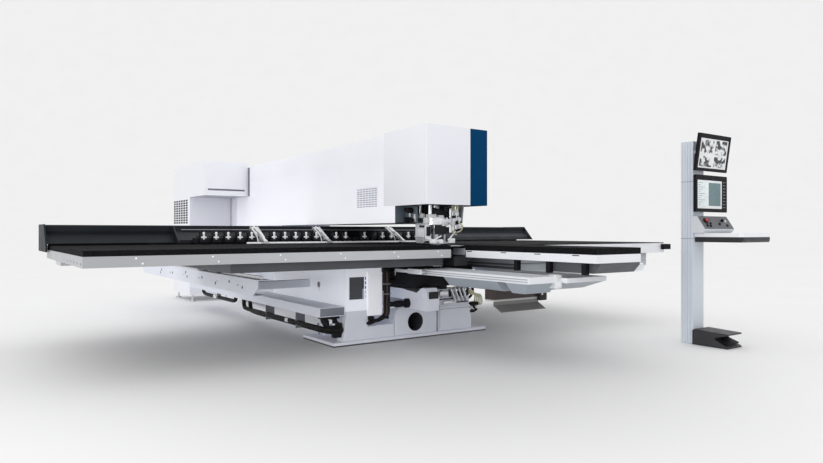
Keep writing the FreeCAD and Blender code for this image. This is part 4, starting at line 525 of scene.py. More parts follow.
def plate_finish():
    """Foot plate: frame paint over a thin dark line at the floor, a painted contact shadow."""
    made = paint_finish("plate_paint", (0.78, 0.8, 0.88), 0.45, 0.2)
    return repaint(made, made.below(PLATE_SHADOW_Z), (0.05, 0.05, 0.055))


def housing_finish():
    """Centre housing: frame paint, with painted shade dark inside its round port."""
    made = paint_finish("housing_paint_port_shade", FRAME_TONE, 0.45, 0.2)
    port = inside(
        made, (PORT_X - PORT_R, FRONT_Y, PORT_Z - PORT_R), (PORT_X + PORT_R, 0.27, PORT_Z + PORT_R))
    return repaint(made, port, (0.055, 0.057, 0.066))


def rail_finish():
    """Cross rail: near black, with a slate band on its face right of the head."""
    made = paint_finish("rail_black", (0.015, 0.018, 0.022), 0.5, 0.15, 0.2, 0.0).put(SHEEN, 0.14)
    return repaint(made, inside(made, (0.6, None, 1.045), (None, None, 1.125)), (0.06, 0.062, 0.075))


def panel_body():
    """Control panel: dark sloping face, light body behind and under it. The face is where
    the distance along the panel's outward way is more than that of the face's plane."""
    made = paint_finish("panel_face", (0.085, 0.09, 0.105), 0.45, 0.3)
    out = made.maths(
        "ADD", made.maths("MULTIPLY", made.axis("Y"), PANEL_OUT[1]),
        made.maths("MULTIPLY", made.axis("Z"), PANEL_OUT[2]))
    limit = PANEL_TOP_Y * PANEL_OUT[1] + PANEL_TOP_Z * PANEL_OUT[2] - 0.0012
    side = made.maths("SUBTRACT", 1, made.spread(out, 0, 1, limit - 0.0004, limit))
    return repaint(made, side, (0.62, 0.64, 0.68))


def casting_finish():
    """Head casting: painted shade makes it dark in the throat behind the columns, and painted light
    makes it lighter on its right cheek.
    """
    made = paint_finish("casting_shade_and_light", (0.045, 0.046, 0.052), 0.55, 0.5)
    return repaint(made, made.above(CHEEK_X, "X"), (0.5, 0.52, 0.56))


def upper_box_finish():
    """Upper box: white with a painted glow, a little darker on its side as painted shade, and its
    underside in painted shade.
    """
    made = with_painted_glow(paint_finish("box_white_glow_and_shade", (0.88, 0.89, 0.935), 0.38, 0.12, 0.02), 0.05)
    made = repaint(made, made.below(BOX_SIDE_X, "X"), (0.76, 0.78, 0.82))
    return repaint(made, inside(made, (None, None, None), (None, 4.579, 1.6652)), (0.26, 0.28, 0.32))


def underframe_finish():
    """Left underframe: near black as painted shade under the table, pale at its far end under the
    table's skirt.
    """
    made = paint_finish("underframe_left_shade", (0.075, 0.08, 0.09), 0.5, 0.2, 0.2)
    return repaint(made, inside(made, (None, None, None), (-2.7, None, 0.86)), (0.6, 0.62, 0.64))


def apron_finish():
    """Apron: grey, lighter towards the right, with a painted glow on its lower fold."""
    made = paint_finish("apron_grey_glow", (0.3, 0.33, 0.36), 0.45, 0.1, 0.2)
    right = made.axis("X")
    repaint(made, made.spread(right, 0, 1, *APRON_RAMP), (0.5, 0.52, 0.55))
    light = made.maths("MULTIPLY", made.below(APRON_FOLD_Z), made.spread(right, 0.04, 0.3, *APRON_RAMP))
    return made.put(GLOW_COLOUR, (0.9, 0.95, 0.94, 1)).put(GLOW, light)


def dress(name, finish):
    """Give a CAD node its finish."""
    slots = NODES[name].data.materials
    slots.clear()
    slots.append(finish.material)


for part in frame["record"]["subparts"]:
    dress(part["node"], FINISH_OF_SLOT[part["material_slot"]])

TRAY, SLIDE, UNDERFRAME_SHADE = tray_finish(), slide_finish(), underframe_finish()
# The service cover's white carries a painted glow.
SERVICE_GLOW = with_painted_glow(paint_finish("service_white_glow", (0.87, 0.875, 0.92), 0.4, 0.12, 0.02), 0.2)
SKIRT_LEFT = skirt_finish(
    "skirt_left", (0.5, 0.51, 0.53), (-3.2175, -0.8575, None), (0.0475, 1.3475, None))
SKIRT_RIGHT = skirt_finish("skirt_right", SKIRT_TONE, (0.8385, -1.0975, None), (3.2475, 1.3475, None))
for name, finish in (
        ("part_tray_left", TRAY), ("part_tray_right", tray_finish()), ("scrap_slide", SLIDE),
        ("tool_cartridges", BLACK_METAL), ("centre_housing", housing_finish()),
        ("cross_rail", rail_finish()), ("lower_body_shell", shell_finish()),
        ("front_service_cover", SERVICE_GLOW), ("arm_left_panel", arm_finish()),
        ("foot_plate", plate_finish()), ("rail_end_plates", rail_finish()),
        ("c_frame", throat_finish()), ("control_panel", panel_body()),
        ("console_post", paint_finish("post_paint", (0.64, 0.69, 0.76), 0.4, 0.1, 0.03)),
        ("left_underframe", UNDERFRAME_SHADE), ("head_casting", casting_finish()),
        ("rear_upper_box", upper_box_finish()),
        ("right_underframe", paint_finish("underframe_right", (0.34, 0.37, 0.4), 0.5, 0.2, 0.15)),
        ("left_table_frame", SKIRT_LEFT), ("right_table_frame", SKIRT_RIGHT),
        ("middle_table_frame", middle_skirt()), ("right_table_top", right_top()),
        ("console_shelf", shelf_finish()), ("foot_switch", FOOT_GREY), ("clamp_bodies", CLAMP_METAL),
        ("clamp_jaw_left", CLAMP_METAL), ("clamp_jaw_middle", CLAMP_METAL),
        ("clamp_jaw_right", CLAMP_METAL)):
    dress(name, finish)


# Operator's console -----------------------------------------------------------

PIN_Y = -2229
SCREEN_LEFT, SCREEN_WIDE, SCREEN_HIGH = 1994, 566, 368
UPPER, LOWER = (1914, 70, 8), (1499, 48, 0)
GLASS_IN, FIELD_STEP, FIELD_ROUND = 3, 0.5, 0.2


def screen_plate(pin_z, reach, tilt, left, right, low, high, step):
    """Thin field on a screen's glass, from shares of its width and height: its points turn
    by the tilt about the screen's pin, (y cos t - z sin t, y sin t + z cos t)."""
    x = (SCREEN_LEFT + SCREEN_WIDE * left, SCREEN_LEFT + SCREEN_WIDE * right)
    z = (SCREEN_HIGH * (low - 0.5), SCREEN_HIGH * (high - 0.5))
    front = -reach + GLASS_IN - FIELD_STEP * step
    points, faces = block(
        (x[0], front - FIELD_STEP, z[0]), (x[1], front + FIELD_ROUND, z[1]), FIELD_ROUND, 1)
    turn = math.radians(tilt)
    y = points[:, 1] * math.cos(turn) - points[:, 2] * math.sin(turn)
    height = points[:, 1] * math.sin(turn) + points[:, 2] * math.cos(turn)
    return np.stack([points[:, 0], y + PIN_Y, height + pin_z], axis=1), faces


def screens():
    """White fields with their pictures, list, lines, work field and keys on both screens."""
    piece(
        "upper_field_white", screen_plate(*UPPER, 0.05, 0.935, 0.085, 0.875, 1), WHITE, "upper_screen")
    pictures = (
        (0.08, 0.47, 0.47, 0.85), (0.53, 0.9, 0.47, 0.85), (0.08, 0.47, 0.12, 0.4),
        (0.53, 0.9, 0.12, 0.4))
    piece(
        "upper_field_pictures", joined(*(screen_plate(*UPPER, *place, 2) for place in pictures)),
        FIELD_GREY, "upper_screen")
    piece("lower_field_white", screen_plate(*LOWER, 0.03, 0.83, 0.095, 0.86, 1), WHITE, "lower_screen")
    piece(
        "lower_field_list", screen_plate(*LOWER, 0.045, 0.39, 0.16, 0.82, 2), PALE_FIELD,
        "lower_screen")
    lines = [
        screen_plate(*LOWER, 0.07, 0.14 + 0.2 * (k % 3) / 3, z, z + 0.012, 3)
        for k, z in enumerate(np.linspace(0.2, 0.78, 11))]
    piece("lower_field_lines", joined(*lines), SEAM_AND_SHADE, "lower_screen")
    piece("lower_field_work", screen_plate(*LOWER, 0.4, 0.79, 0.17, 0.8, 2), TEAL_FIELD, "lower_screen")
    keys = [
        screen_plate(*LOWER, 0.875 + 0.05 * (k % 2), 0.905 + 0.05 * (k % 2), z, z + 0.03, 1)
        for z in np.linspace(0.12, 0.82, 9) for k in range(2)]
    piece("lower_keys", joined(*keys), SEAM_AND_SHADE, "lower_screen")


def on_panel(shape, x, down):
    """A shape set on the sloping panel, so far down its face."""
    top = (x, PANEL_TOP_Y / MM, PANEL_TOP_Z / MM)
    return set_on(shape, top - np.array(PANEL_UP) * down, (1, 0, 0), PANEL_UP)


def button(radius, high, collar=1.5):
    """Push button: flat collar, straight side and a dished cap, turned about its axis."""
    return turned([
        (radius * 1.35, -2), (radius * 1.35, collar), (radius, collar + 1), (radius, high - 1),
        (radius * 0.9, high), (radius * 0.3, high - 1.2)], sides=20)


def panel_details():
    """Buttons, lights, the collar of the emergency button and screws on the sloping panel."""
    small = button(11, 9)
    black = [
        on_panel(small, x, down)
        for x, down in ((2098, 112), (2150, 118), (2175, 88), (2150, 50), (2335, 95), (2465, 110))]
    piece("panel_buttons", joined(*black), BLACK)
    piece("panel_light", on_panel(button(10, 10), 2470, 60), WHITE)
    piece("panel_red_light", on_panel(button(9, 8), 2185, 45), RED)
    collar = turned([(34, -1), (34, 2), (32, 2.6), (23, 2.6)], sides=32)
    piece("stop_collar", on_panel(collar, 2115, 60), BLACK)
    screws = joined(*(
        on_panel(heads([(0, 0, 0)], 4, 2, "z", 1), x, down) for x in (2030, 2545)
        for down in (12, 138)))
    piece("panel_screws", screws, STEEL)


def post_band(low, high, out=0.6):
    """Thin joint line round the post at one height."""
    return folded([
        (2053 - out, -2210 - out), (2238 + out, -2210 - out), (2238 + out, -2077 + out),
        (2053 - out, -2077 + out)], "z", low, high)


screens()
panel_details()
piece("post_joints", joined(post_band(1618, 1622), post_band(1047, 1051)), SEAM_AND_SHADE)


# Tool magazine and clamps -----------------------------------------------------

FIRST_STATION, STATION_STEP, STATION_COUNT = -1819, 131, 23
CLAMP_STATIONS, EMPTY_STATIONS = (5, 11, 19), (14, 16)
PLACES = [FIRST_STATION + STATION_STEP * n for n in range(STATION_COUNT)]
HELD = [x for n, x in enumerate(PLACES) if n not in CLAMP_STATIONS + EMPTY_STATIONS]


def magazine_details():
    """Crosses and shoes on the held cartridges, the strip, rod and lines of the carriage."""
    cross = joined(
        blocks(((-9, -6, 0), (9, 6, 62), 3), ((-27, -8, 14), (27, 8, 30), 4)),
        turned([(12, 58), (13, 62), (13, 72), (8, 78), (2, 79)], sides=12))
    piece("holder_crosses", repeated(cross, [(x, 952, 1036) for x in HELD]), HOLDER_GLOW, "x_carriage")
    shoe = blocks(((-36, -20, 0), (36, 20, 44), 14, 3), ((-24, -26, 6), (24, 0, 30), 8))
    piece("holder_shoes", repeated(shoe, [(x, 957, 990.5) for x in HELD]), BLACK, "x_carriage")
    piece(
        "magazine_strip",
        folded([(922, 986.8), (936, 986.8), (936, 1004), (926, 1004)], "x", -1360, 1100, 1), HOLDER_GLOW,
        "x_carriage")
    piece("carriage_rod", rod((-1970, 1246, 1139), (1130, 1246, 1139), 5), CASTING, "x_carriage")
    slats = [
        folded([(1262, z), (1266, z), (1266, z + 4), (1262, z + 4)], "x", -1980, 1140)
        for z in (1085, 1112, 1160)]
    piece("carriage_lines", joined(*slats), SEAM_AND_SHADE, "x_carriage")


def clamp_cover():
    """Cast guard of a clamp: a sloping web with raised sides, from its toe to its heel,
    each an outline carried straight along X, with pins and bolt heads."""
    web = folded([
        (895, 1030), (905, 1024), (1060, 1104), (1120, 1116), (1235, 1178), (1235, 1186), (1110, 1126),
        (1050, 1116)], "x", -12, 12, 4)
    side = folded([
        (990, 1000), (1060, 1000), (1240, 1060), (1255, 1174), (1225, 1180), (1110, 1112),
        (1020, 1060)], "x", -5, 5, 8)
    return joined(
        web, repeated(side, [(-42, 0, 0), (42, 0, 0)]),
        rod((-50, 1190, 1120), (50, 1190, 1120), 16, 16), rod((-50, 1145, 1060), (50, 1145, 1060), 10),
        heads([(-47, 1060, 1040), (-47, 1210, 1090), (-47, 1225, 1150)], 8, 6, "x"))


def sheet_clamps():
    """The guard on each of the three clamps."""
    for station, tag in zip(CLAMP_STATIONS, ("left", "middle", "right")):
        guard = repeated(clamp_cover(), [(PLACES[station], 0, 0)])
        piece("clamp_guard_" + tag, guard, CLAMP_METAL, "x_carriage")


magazine_details()
sheet_clamps()


# Punch head -------------------------------------------------------------------

def head_details():
    """Solenoids, bolts, blocks, levers, tubes and hoses on and round the punch head."""
    piece("head_side_plate", block((-118, -520, 1212), (-108, -315, 1384), 3), SHADED_PLATE)
    solenoids = joined(
        turned([(26, -185), (28, -182), (28, -135), (20, -130), (20, -112)], (0, -440, 1336), "x", 20),
        turned([(18, -165), (20, -162), (20, -116)], (0, -372, 1345), "x", 16),
        turned([(24, -180), (27, -176), (27, -120), (15, -116)], (0, -395, 1240), "x", 20),
        turned([(17, -170), (19, -166), (19, -116)], (0, -465, 1236), "x", 16))
    piece("head_solenoids", solenoids, BLACK)
    fitting = blocks(
        ((-150, -440, 1262), (-110, -405, 1312), 5), ((-138, -505, 1215), (-112, -480, 1300), 4))
    piece("head_fittings", fitting, ZINC)
    bolts = [(x, -632, 1265) for x in (-20, 30, 85, 250, 300, 335)]
    bolts += [(-28, y, 1265) for y in (-575, -520, -465, -410)]
    piece("flange_bolts", heads(bolts, 11, 12, "z", 1, 10), HOLDER_GLOW)
    front = [
        (x, -650, z)
        for x, z in zip((-20, 45, 110, 175, 240, 330), (1235, 1215, 1240, 1212, 1236, 1220))]
    piece("flange_front_bolts", heads(front, 10, 8, "y", -1, 10), HOLDER_GLOW)
    pads = blocks(
        ((-40, -662, 1255), (25, -560, 1296)), ((55, -660, 1258), (120, -600, 1286)),
        ((-70, -540, 1258), (-30, -430, 1305)), ((-86, -640, 1196), (-44, -575, 1262), 8),
        ((100, -668, 1175), (165, -640, 1212)), ((-94, -590, 1060), (-74, -455, 1150)))
    piece("flange_blocks", pads, WHITE)
    # The throat plates are near black painted shade in the gaps of the head.
    throat = blocks(
        ((12, -646, 1092), (160, -640, 1188), 2, 1), ((-55, -330, 1210), (370, -312, 1384), 4, 1),
        ((10, -628, 1270), (150, -560, 1350), 20))
    piece("head_throat_shade", throat, SHADE_BLACK)
    # The changer's window and side slot are dark plates of painted shade.
    piece("changer_window", block((-58, -606, 1075), (-12, -599, 1170), 3), SHADE_BLACK)
    piece("changer_side_slot", block((-76.5, -585, 1160), (-74, -500, 1184), 1, 1), SHADE_BLACK)
    levers = joined(
        rod((-70, -612, 1050), (60, -640, 1020), 10), rod((-30, -615, 1010), (90, -650, 1075), 7),
        rod((190, -640, 1030), (285, -640, 1120), 9),
        blocks(
            ((-20, -640, 998), (50, -596, 1030)), ((75, -640, 1000), (130, -608, 1040)),
            ((215, -630, 1000), (292, -600, 1050))))
    piece("changer_levers", levers, HOLDER_GLOW)
    tubes = [
        hose([
            (x, -705, 1345), (x - 12, -735, 1385), (x + 20, -715, 1372), (x + 30, -690, 1300)], 6, 8, 6)
        for x in (185, 215, 245)]
    tubes.append(
        hose([(175, -715, 1200), (150, -745, 1150), (190, -740, 1095), (235, -720, 1090)], 7, 8))
    tubes.append(
        hose([(255, -718, 1210), (300, -735, 1180), (310, -700, 1130), (260, -690, 1110)], 7, 8))
    piece("valve_tubes", joined(*tubes), YELLOW_TUBE)
    caps = joined(
        *(
            turned([(15, 0), (16, 3), (16, 20), (10, 24)], (x, y, z), "z", 14)
            for x, y, z in ((185, -690, 1335), (222, -690, 1318), (255, -690, 1300))),
        blocks(
            ((205, -745, 1280), (250, -715, 1325), 8), ((175, -742, 1215), (205, -718, 1250)),
            ((250, -735, 1225), (290, -700, 1262)), ((270, -700, 1150), (330, -660, 1185))))
    piece("valve_caps", caps, WHITE)
    darks = joined(
        blocks(((180, -738, 1255), (215, -718, 1282), 4), ((225, -736, 1190), (250, -716, 1230), 4)),
        hose([(60, -520, 1360), (90, -620, 1340), (150, -660, 1300), (165, -680, 1250)], 9, 8),
        hose([(300, -500, 1360), (310, -600, 1330), (275, -680, 1300), (265, -690, 1260)], 9, 8),
        hose([(-90, -360, 1370), (-125, -410, 1360), (-160, -440, 1345)], 8, 8))
    piece("head_hoses", darks, RUBBER)


head_details()


# Under the tables -------------------------------------------------------------

def hose_stack():
    """Vertical hoses beside the service cover, held by dark clamps on the shell."""
    black, brown = [], []
    for k, x in enumerate((-380, -354, -330)):
        low_x = (-545, -500, -420)[k]
        path = [
            (x, -318, 735), (x, -320, 550), (x, -316, 360), (x - 10, -314, 270),
            (low_x, -320 + 8 * k, 200 + 12 * k), (low_x - 20, -240, 205)]
        (brown if k == 1 else black).append(hose(path, 14.5, 12, 8))
    black.append(
        hose([(-560, -300, 245), (-480, -325, 225), (-400, -325, 250), (-330, -300, 240)], 16, 12, 8))
    black.append(block((-400, -335, 700), (-312, -284, 752), 8))
    black.append(block((-560, -312, 236), (-500, -240, 268)))
    piece("hoses_front", joined(*black), RUBBER)
    piece("hose_brown_front", joined(*brown), BROWN_RUBBER)
    clamps = joined(*(block((-398, -338, z), (-312, -285, z + 12), 4) for z in (478, 580)))
    piece("hose_clamps", clamps, SEAM_AND_SHADE)


def jaw_lines():
    """Feed tube, motor and blocks on the lower jaw and the slug chute."""
    tube = [
        hose([
            (-300, -235, 602), (-200, -270, 598), (0, -345, 578),
            (200, -440, 556)], 38, 16, 8, 0.04, 30),
        block((185, -515, 515), (275, -420, 590), 8),
        hose([(-290, -260, 700), (-180, -300, 672), (0, -350, 655), (120, -420, 660)], 18, 12, 8),
        hose([(-290, -250, 660), (-160, -300, 640), (-20, -360, 630), (100, -430, 640)], 15, 12, 8)]
    piece("jaw_tubes", joined(*tube), RUBBER)
    motor = turned([
        (24, -235), (26, -232), (26, -165), (34, -160), (34, -85), (28, -80), (28, -45), (46, -40),
        (48, -35), (48, -4), (44, 0)], (-148, -405, 386), "x", 28)
    piece("chute_motor", motor, BLACK)
    pads = blocks(
        ((-240, -300, 668), (-80, -262, 712), 4), ((-200, -292, 712), (-165, -268, 742), 4),
        ((-130, -292, 712), (-95, -268, 736), 4))
    piece("jaw_blocks", pads, WHITE)
    rail = blocks(
        ((-252, -768, 700), (-235.2, -540, 750), 3), ((-247, -542, 706), (-235.2, -300, 738), 3),
        ((-240, -700, 706), (-148, -660, 728), 3))
    piece("jaw_rail", rail, TRAY)
    # The chute's window is a dark plate of painted shade.
    piece("chute_window", block((-136, -747.5, 452), (-18, -743.5, 522), 1, 1), SHADE_BLACK)


def unit_details():
    """Pneumatic unit: sloping levers, dark gaps of painted shade, joints and its bundle of fittings."""
    # Dark blocks as painted shade in the gaps between the levers.
    gaps = [block((365 + 62 * k, -281, 400), (398 + 62 * k, -268, 478), 3, 1) for k in (0, 2, 4, 5, 6)]
    gaps += [
        block((352, -281, 372), (560, -268, 384), 2, 1),
        block((600, -281, 330), (760, -268, 342), 2, 1)]
    piece("unit_gaps", joined(*gaps), SHADE_BLACK)
    levers = [rod((500 + 55 * k, -292, 492), (565 + 55 * k, -292, 352), 13) for k in range(4)]
    levers += [
        block((352, -292, 410), (470, -272, 470)), block((400, -290, 318), (520, -272, 358)),
        rod((360, -284, 500), (760, -284, 508), 8)]
    piece("unit_levers", joined(*levers), ZINC)
    tubes = [
        hose([
            (775, -262, 470 - 12 * k), (815, -285, 455 - 10 * k), (850 + 22 * k, -290, 395),
            (860 + 25 * k, -270, 330 - 10 * k), (800, -250, 320)], 8.5, 8, 6)
        for k in range(5)]
    piece("unit_tubes", joined(*tubes), YELLOW_TUBE)
    darks = [
        block((800, -300, 285), (905, -225, 325), 10), block((780, -290, 205), (860, -215, 240), 10),
        hose([
            (775, -240, 490), (830, -250, 500), (865, -240, 455), (845, -230, 390),
            (790, -220, 350)], 15, 10, 6),
        hose([
            (790, -260, 300), (850, -280, 262), (900, -260, 232), (850, -240, 215),
            (790, -220, 220)], 13, 10, 6)]
    piece("unit_fittings", joined(*darks), RUBBER)
    whites = blocks(
        ((782, -280, 440), (812, -230, 480)), ((780, -285, 250), (830, -225, 280)),
        ((860, -300, 250), (900, -250, 280)))
    piece("unit_white_fittings", whites, WHITE)
    seams = blocks(
        ((352, -287.2, 270), (790, -284, 274.5), 1, 1), ((352, -287.2, 60), (356.5, -284, 272), 1, 1))
    piece("box_joints", seams, SEAM_AND_SHADE)


def duct_lines():
    """Pipes under the duct beam on hangers, and the plate, knee and bracket at its end."""
    pipes = [
        hose([
            (-1030, 1900, 292), (-1030, 1880, 200), (-1030, 1760, 172), (-1030, 900, 170),
            (-1030, -50, 170), (-1010, -200, 168), (-940, -265, 160), (-845, -270, 150)], 24, 14, 10),
        hose([
            (-965, 1860, 292), (-965, 1840, 180), (-965, 1720, 136), (-965, 900, 134), (-965, 20, 134),
            (-950, -120, 132), (-910, -190, 128), (-845, -200, 124)], 24, 14, 10),
        hose([
            (-1020, 3550, 292), (-1020, 3500, 235), (-1020, 3300, 222), (-1020, 2500, 222),
            (-1020, 2250, 232), (-1020, 2200, 292)], 24, 14, 10)]
    piece("duct_pipes", joined(*pipes), RUBBER)
    hangers = [block((-1050, y, 112), (-945, y + 12, 290.5), 2, 1) for y in (350, 1150)]
    hangers.append(block((-1045, 2850, 200), (-995, 2870, 290.5), 2, 1))
    piece("duct_hangers", joined(*hangers), SEAM_AND_SHADE)
    piece(
        "duct_fittings",
        blocks(((-1060, 2900, 205), (-1000, 3000, 255), 10), ((-1060, 550, 150), (-1005, 620, 192), 8)),
        WHITE)
    piece("duct_end_plate", block((-1080, -262.5, 296), (-816, -250, 374), 3), DUCT_END)
    knee = [
        hose([
            (-1000, -160, 300), (-995, -190, 240), (-960, -225, 190), (-900, -235, 160),
            (-835, -230, 150)], 36, 16, 8, 0.05, 30),
        hose([
            (-900, -170, 300), (-895, -190, 250), (-880, -215, 205),
            (-835, -225, 185)], 30, 16, 8, 0.05, 30),
        block((-1040, -235, 262), (-850, -120, 290.5), 8),
        block((-930, -255, 75), (-822, -200, 140), 10)]
    piece("duct_knee", joined(*knee), RUBBER)
    piece(
        "duct_bracket",
        blocks(((-985, -272, 205), (-955, -262, 262), 3), ((-985, -272, 205), (-925, -262, 222), 3)),
        FRAME_PAINT)


def tray_details():
    """Ribs along the trays, the white end block and the slide's band of holes."""
    ribs = [
        folded([(750, x + 4), (750, x + 10), (744.5, x + 14), (744.5, x)], "y", -2112, -645)
        for x in (-120, -55, 10, 75, 140)]
    ribs += [
        folded([(z + 8, -153.5), (z + 8, -149.5), (z, -149.5), (z, -153.5)], "y", -2100, -650)
        for z in (702, 722)]
    piece("tray_ribs", joined(*ribs), RIB_GREY)
    hopper = folded([(600, 110), (692, 198), (692, -142), (600, -60)], "y", -1720, -980, 10)
    piece("tray_hopper", hopper, TRAY)
    mouth = joined(
        block((-62, -1600, 594), (486, -1500, 655), 4),
        *(block((x, -1606, 545), (x + 10, -1598, 650), 2, 1) for x in np.linspace(-30, 450, 6)))
    piece("slide_mouth", mouth, SLIDE)
    piece(
        "tray_end_block",
        blocks(((150, -2135, 640), (222, -2040, 756), 8, 3), ((165, -2150, 655), (207, -2120, 700))),
        WHITE)
    # The slide's holes are dark domes of painted shade.
    piece("slide_holes", heads([(x, -1600.5, 515) for x in np.linspace(-40, 470, 14)], 7, 2), SHADE_BLACK)
    piece(
        "slide_bracket",
        blocks(((480, -1640, 480), (575, -1585, 610), 8), ((545, -1620, 590), (585, -1560, 640))),
        SHADE_BLACK)
    piece("slide_gap", block((500, -1643, 530), (520, -1636, 600), 4), WHITE)


hose_stack()
jaw_lines()
unit_details()
duct_lines()
tray_details()


# Small marks and fixings ------------------------------------------------------

def fixings():
    """Screws, slots, holes, joint lines, grille and louvre; the slots, holes, grille, louvre, recess
    line and one seam are painted shade.
    """
    pairs = [
        (x + dx, -860, z) for x in (-2870, -2310, -1750, -1185, -620, -110)
        for dx, z in ((0, 925), (45, 886))]
    piece("skirt_screws", heads(pairs, 7.5, 4), HOLDER_GLOW, "y_table")
    ends = [(-3220, y, 890) for y in (-780, -620, -460, -300, -140)]
    piece("end_screws", heads(ends, 9, 4, "x"), SEAM_AND_SHADE, "y_table")
    # The middle table's slots are dark blocks of painted shade.
    slots = [block((241.8, y, 917), (243.5, y + 75, 925), 1, 1) for y in (-950, -1440, -1870, -2300)]
    piece("middle_slots", joined(*slots), SHADE_BLACK)
    # The beam's holes are dark discs of painted shade, as their insides lie in shade.
    holes = [
        (-1665, y, z)
        for y, z in (
                (250, 575), (620, 610), (1050, 565), (1520, 600), (2100, 575), (2160, 625), (2750, 590),
                (3300, 600), (3360, 560))]
    piece("beam_holes", heads(holes, 17, 2, "x", -1, 12), SHADE_BLACK)
    piece("grey_box", block((237.5, -850, 884), (243.5, -655, 952), 3), CASTING)
    piece("shell_plug", heads([(-810, 300, 560)], 32, 6, "x", -1, 20), CASTING)
    # The grille's holes are dark plates of painted shade.
    grille = [
        block(
            (-917.6, 4700 + 139 * c, 1250 + 39.5 * r), (-916.5, 4804 + 139 * c, 1279 + 39.5 * r), 0.4,
            1)
        for c in range(6) for r in range(10)]
    piece("cabinet_grille", joined(*grille), SHADE_BLACK)
    piece("rear_link_panel", block((-247.8, 4290, 1207), (-236, 4590, 1664.5), 2), COVER_WHITE)
    # The first seam is a dark joint line; the second is a painted shadow in the gap between the upper
    # box and the arm.
    seams = blocks(
        ((-251.5, 4560, 1190), (-247, 4580.5, 1664), 1, 1),
        ((-250, 3735, 1664), (-247.5, 3814, 2110), 1, 1))
    piece("rear_seams", seams, SEAM_AND_SHADE)
    # The recess line is painted shade in the upper box's recess.
    piece("upper_recess_line", block((-895, 3828.5, 1742), (-275, 3830, 1790), 0.6, 1), SEAM_AND_SHADE)
    # The louvre's slots are thin grey strips of painted shade.
    slot = block((-249, 0, 0), (-247.8, 50, 11), 0.4, 1)
    louvre = [(0, 40 + 62 * c, 1388 + 24 * r) for c in range(7) for r in range(9)]
    piece("arm_louvre", repeated(slot, louvre), RIB_GREY)


fixings()


def window_and_skirt():
    """Dark plate of painted shade behind the shell's window, and a dark strip under the cross rail's
    left end.
    """
    piece("window_shade_plate", block((-772, -262, 443), (-605, -255, 665), 1, 1), WINDOW_SHADE)
    strip = folded([(1336, 940), (1342, 940), (1342, 1003), (1336, 1003)], "x", -3215, -2300)
    piece("rail_strip", strip, BLACK_METAL, "y_table")


window_and_skirt()


def right_aprons():
    """Bent sheets under the right table, along its front and its left side."""
    front = folded([
        (-984, 864), (-984, 790), (-975, 780), (-984, 770), (-984, 712), (-930, 634), (-926, 637),
        (-980, 713), (-980, 864)], "x", 880, 3050)
    piece("right_apron_front", front, apron_finish(), "y_table")
    side = folded([(885, -970), (885, 550), (881, 550), (881, -970)], "z", 716, 864)
    lines = joined(*(
        folded([(881.5, -970), (881.5, 550), (879.5, 550), (879.5, -970)], "z", z, z + 12)
        for z in (745, 800, 832)))
    # The side sheet takes the left underframe's near black painted shade.
    piece("right_apron_side", side, UNDERFRAME_SHADE, "y_table")
    piece("right_apron_lines", lines, CASTING, "y_table")


right_aprons()


# Stage ------------------------------------------------------------------------

EYE, AHEAD = (-3.915, -5.8045, 1.12), (0.5764, 0.8172, 0.0)
FOCAL_PIXELS, PICTURE_WIDE, SENSOR_WIDE = 640.45, 823, 36.0
FLOOR_NEAR, FLOOR_BEND, FLOOR_FAR, FLOOR_ASIDE = -40, 30, 60, 70
BACKDROP_HIGH, FLOOR_DROP = 32, 0.002


def around(made, x, y, radius, near, far, start=0.0):
    """Value that eases from near, at a place on the floor, to far, at a radius from it."""
    centred = made.node(
        "Mapping", Vector=made.place, Scale=(1 / radius, 1 / radius, 0.0),
        Location=(-x / radius, -y / radius, 0.0))
    span = made.node("VectorMath")
    span.operation = "LENGTH"
    made.feed(span.inputs[0], centred.outputs["Vector"])
    eased = made.node(
        "MapRange", Value=span.outputs["Value"], From_Min=start, From_Max=1.0, To_Min=near, To_Max=far)
    eased.interpolation_type = "SMOOTHSTEP"
    return eased.outputs["Result"]


def floor_finish():
    """Pale floor: a painted shadow makes it softly darker under the machine, and a painted glow makes a
    slightly lighter place at its right.
    """
    made = Finish("pale_floor_painted_shadow", (0.9, 0.9, 0.9), 0.8)
    made.tint(made.noise(0.6, 3.0), 0.008)
    repaint(made, around(made, -0.7, -1.6, 3.1, 1.0, 0.0, 0.15), (0.66, 0.66, 0.665))
    made.put(SHEEN, 0.1).put(GLOW_COLOUR, (1, 1, 1, 1))
    return made.put(GLOW, around(made, 2.4, -0.35, 1.9, 0.16, 0.01))


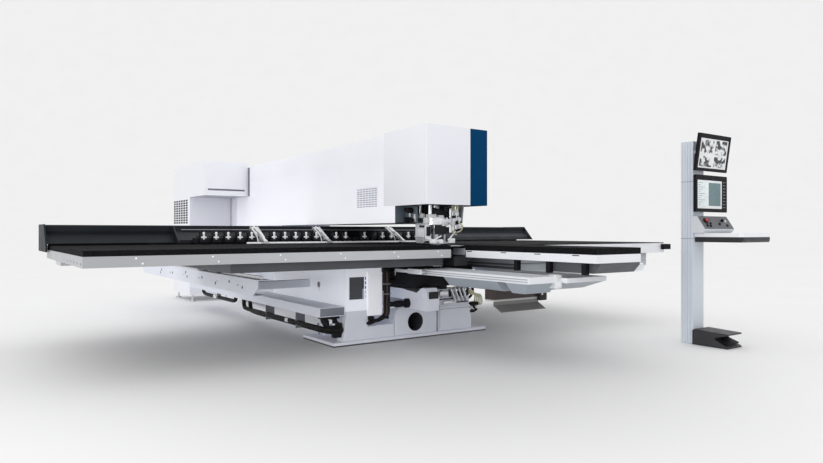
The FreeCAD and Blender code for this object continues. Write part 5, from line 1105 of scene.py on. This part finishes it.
def sweep_floor():
    """Floor that bends up into a far backdrop: past the bend, height = (share of the way
    from the bend to the far end) ^ 2 * the backdrop's height."""
    along = np.concatenate([np.linspace(FLOOR_NEAR, FLOOR_BEND, 15), np.linspace(33, FLOOR_FAR, 12)])
    across = np.linspace(-FLOOR_ASIDE, FLOOR_ASIDE, 15)
    share = (along - FLOOR_BEND) / (FLOOR_FAR - FLOOR_BEND)
    lift = np.where(share > 0, share ** 2 * BACKDROP_HIGH, 0)
    u, v = np.meshgrid(along, across, indexing="ij")
    height = np.repeat(lift[:, None], len(across), axis=1)
    points = np.stack([
        u * AHEAD[0] + v * AHEAD[1], u * AHEAD[1] - v * AHEAD[0], height - FLOOR_DROP], axis=-1)
    mesh = bpy.data.meshes.new("floor")
    mesh.from_pydata(
        points.reshape(-1, 3).tolist(), [],
        [face[::-1] for face in grid_faces(len(along), len(across))])
    mesh.shade_smooth()
    mesh.materials.append(floor_finish().material)
    thing = added("floor", mesh)


def aim(thing, place, way):
    """Put a lamp or camera in its place, looking along a way."""
    thing.location = place
    thing.rotation_mode = "QUATERNION"
    thing.rotation_quaternion = Vector(way).to_track_quat("-Z", "Y")


def lamp(name, place, target, size, power):
    """Flat lamp that the camera doesn't see."""
    light = bpy.data.lights.new(name, "AREA")
    light.shape = "RECTANGLE"
    light.size, light.size_y = size
    light.energy = power
    thing = added(name, light)
    aim(thing, place, Vector(target) - Vector(place))
    thing.visible_camera = False


def studio():
    """White surroundings, a weak lamp overhead and a stronger one from the left."""
    world = bpy.data.worlds.new("studio")
    bpy.context.scene.world = world
    world.use_nodes = True
    sky = world.node_tree.nodes["Background"]
    sky.inputs["Color"].default_value = (1.0, 1.0, 1.0, 1)
    sky.inputs["Strength"].default_value = 0.97
    lamp("ceiling_light", (0, 1, 9), (0, 1, 0), (12, 12), 30)
    lamp("left_light", (-9.5, -4, 1.3), (0, 0, 0.9), (8, 2.2), 190)
    bpy.context.scene.view_settings.view_transform = "Standard"


def photo_camera():
    """Level camera at the photo's place."""
    lens = bpy.data.cameras.new("photo_camera")
    lens.sensor_width = SENSOR_WIDE
    lens.lens = FOCAL_PIXELS / PICTURE_WIDE * SENSOR_WIDE
    lens.clip_end = 300
    camera = added("photo_camera", lens)
    aim(camera, EYE, AHEAD)
    bpy.context.scene.camera = camera


sweep_floor()
studio()
photo_camera()
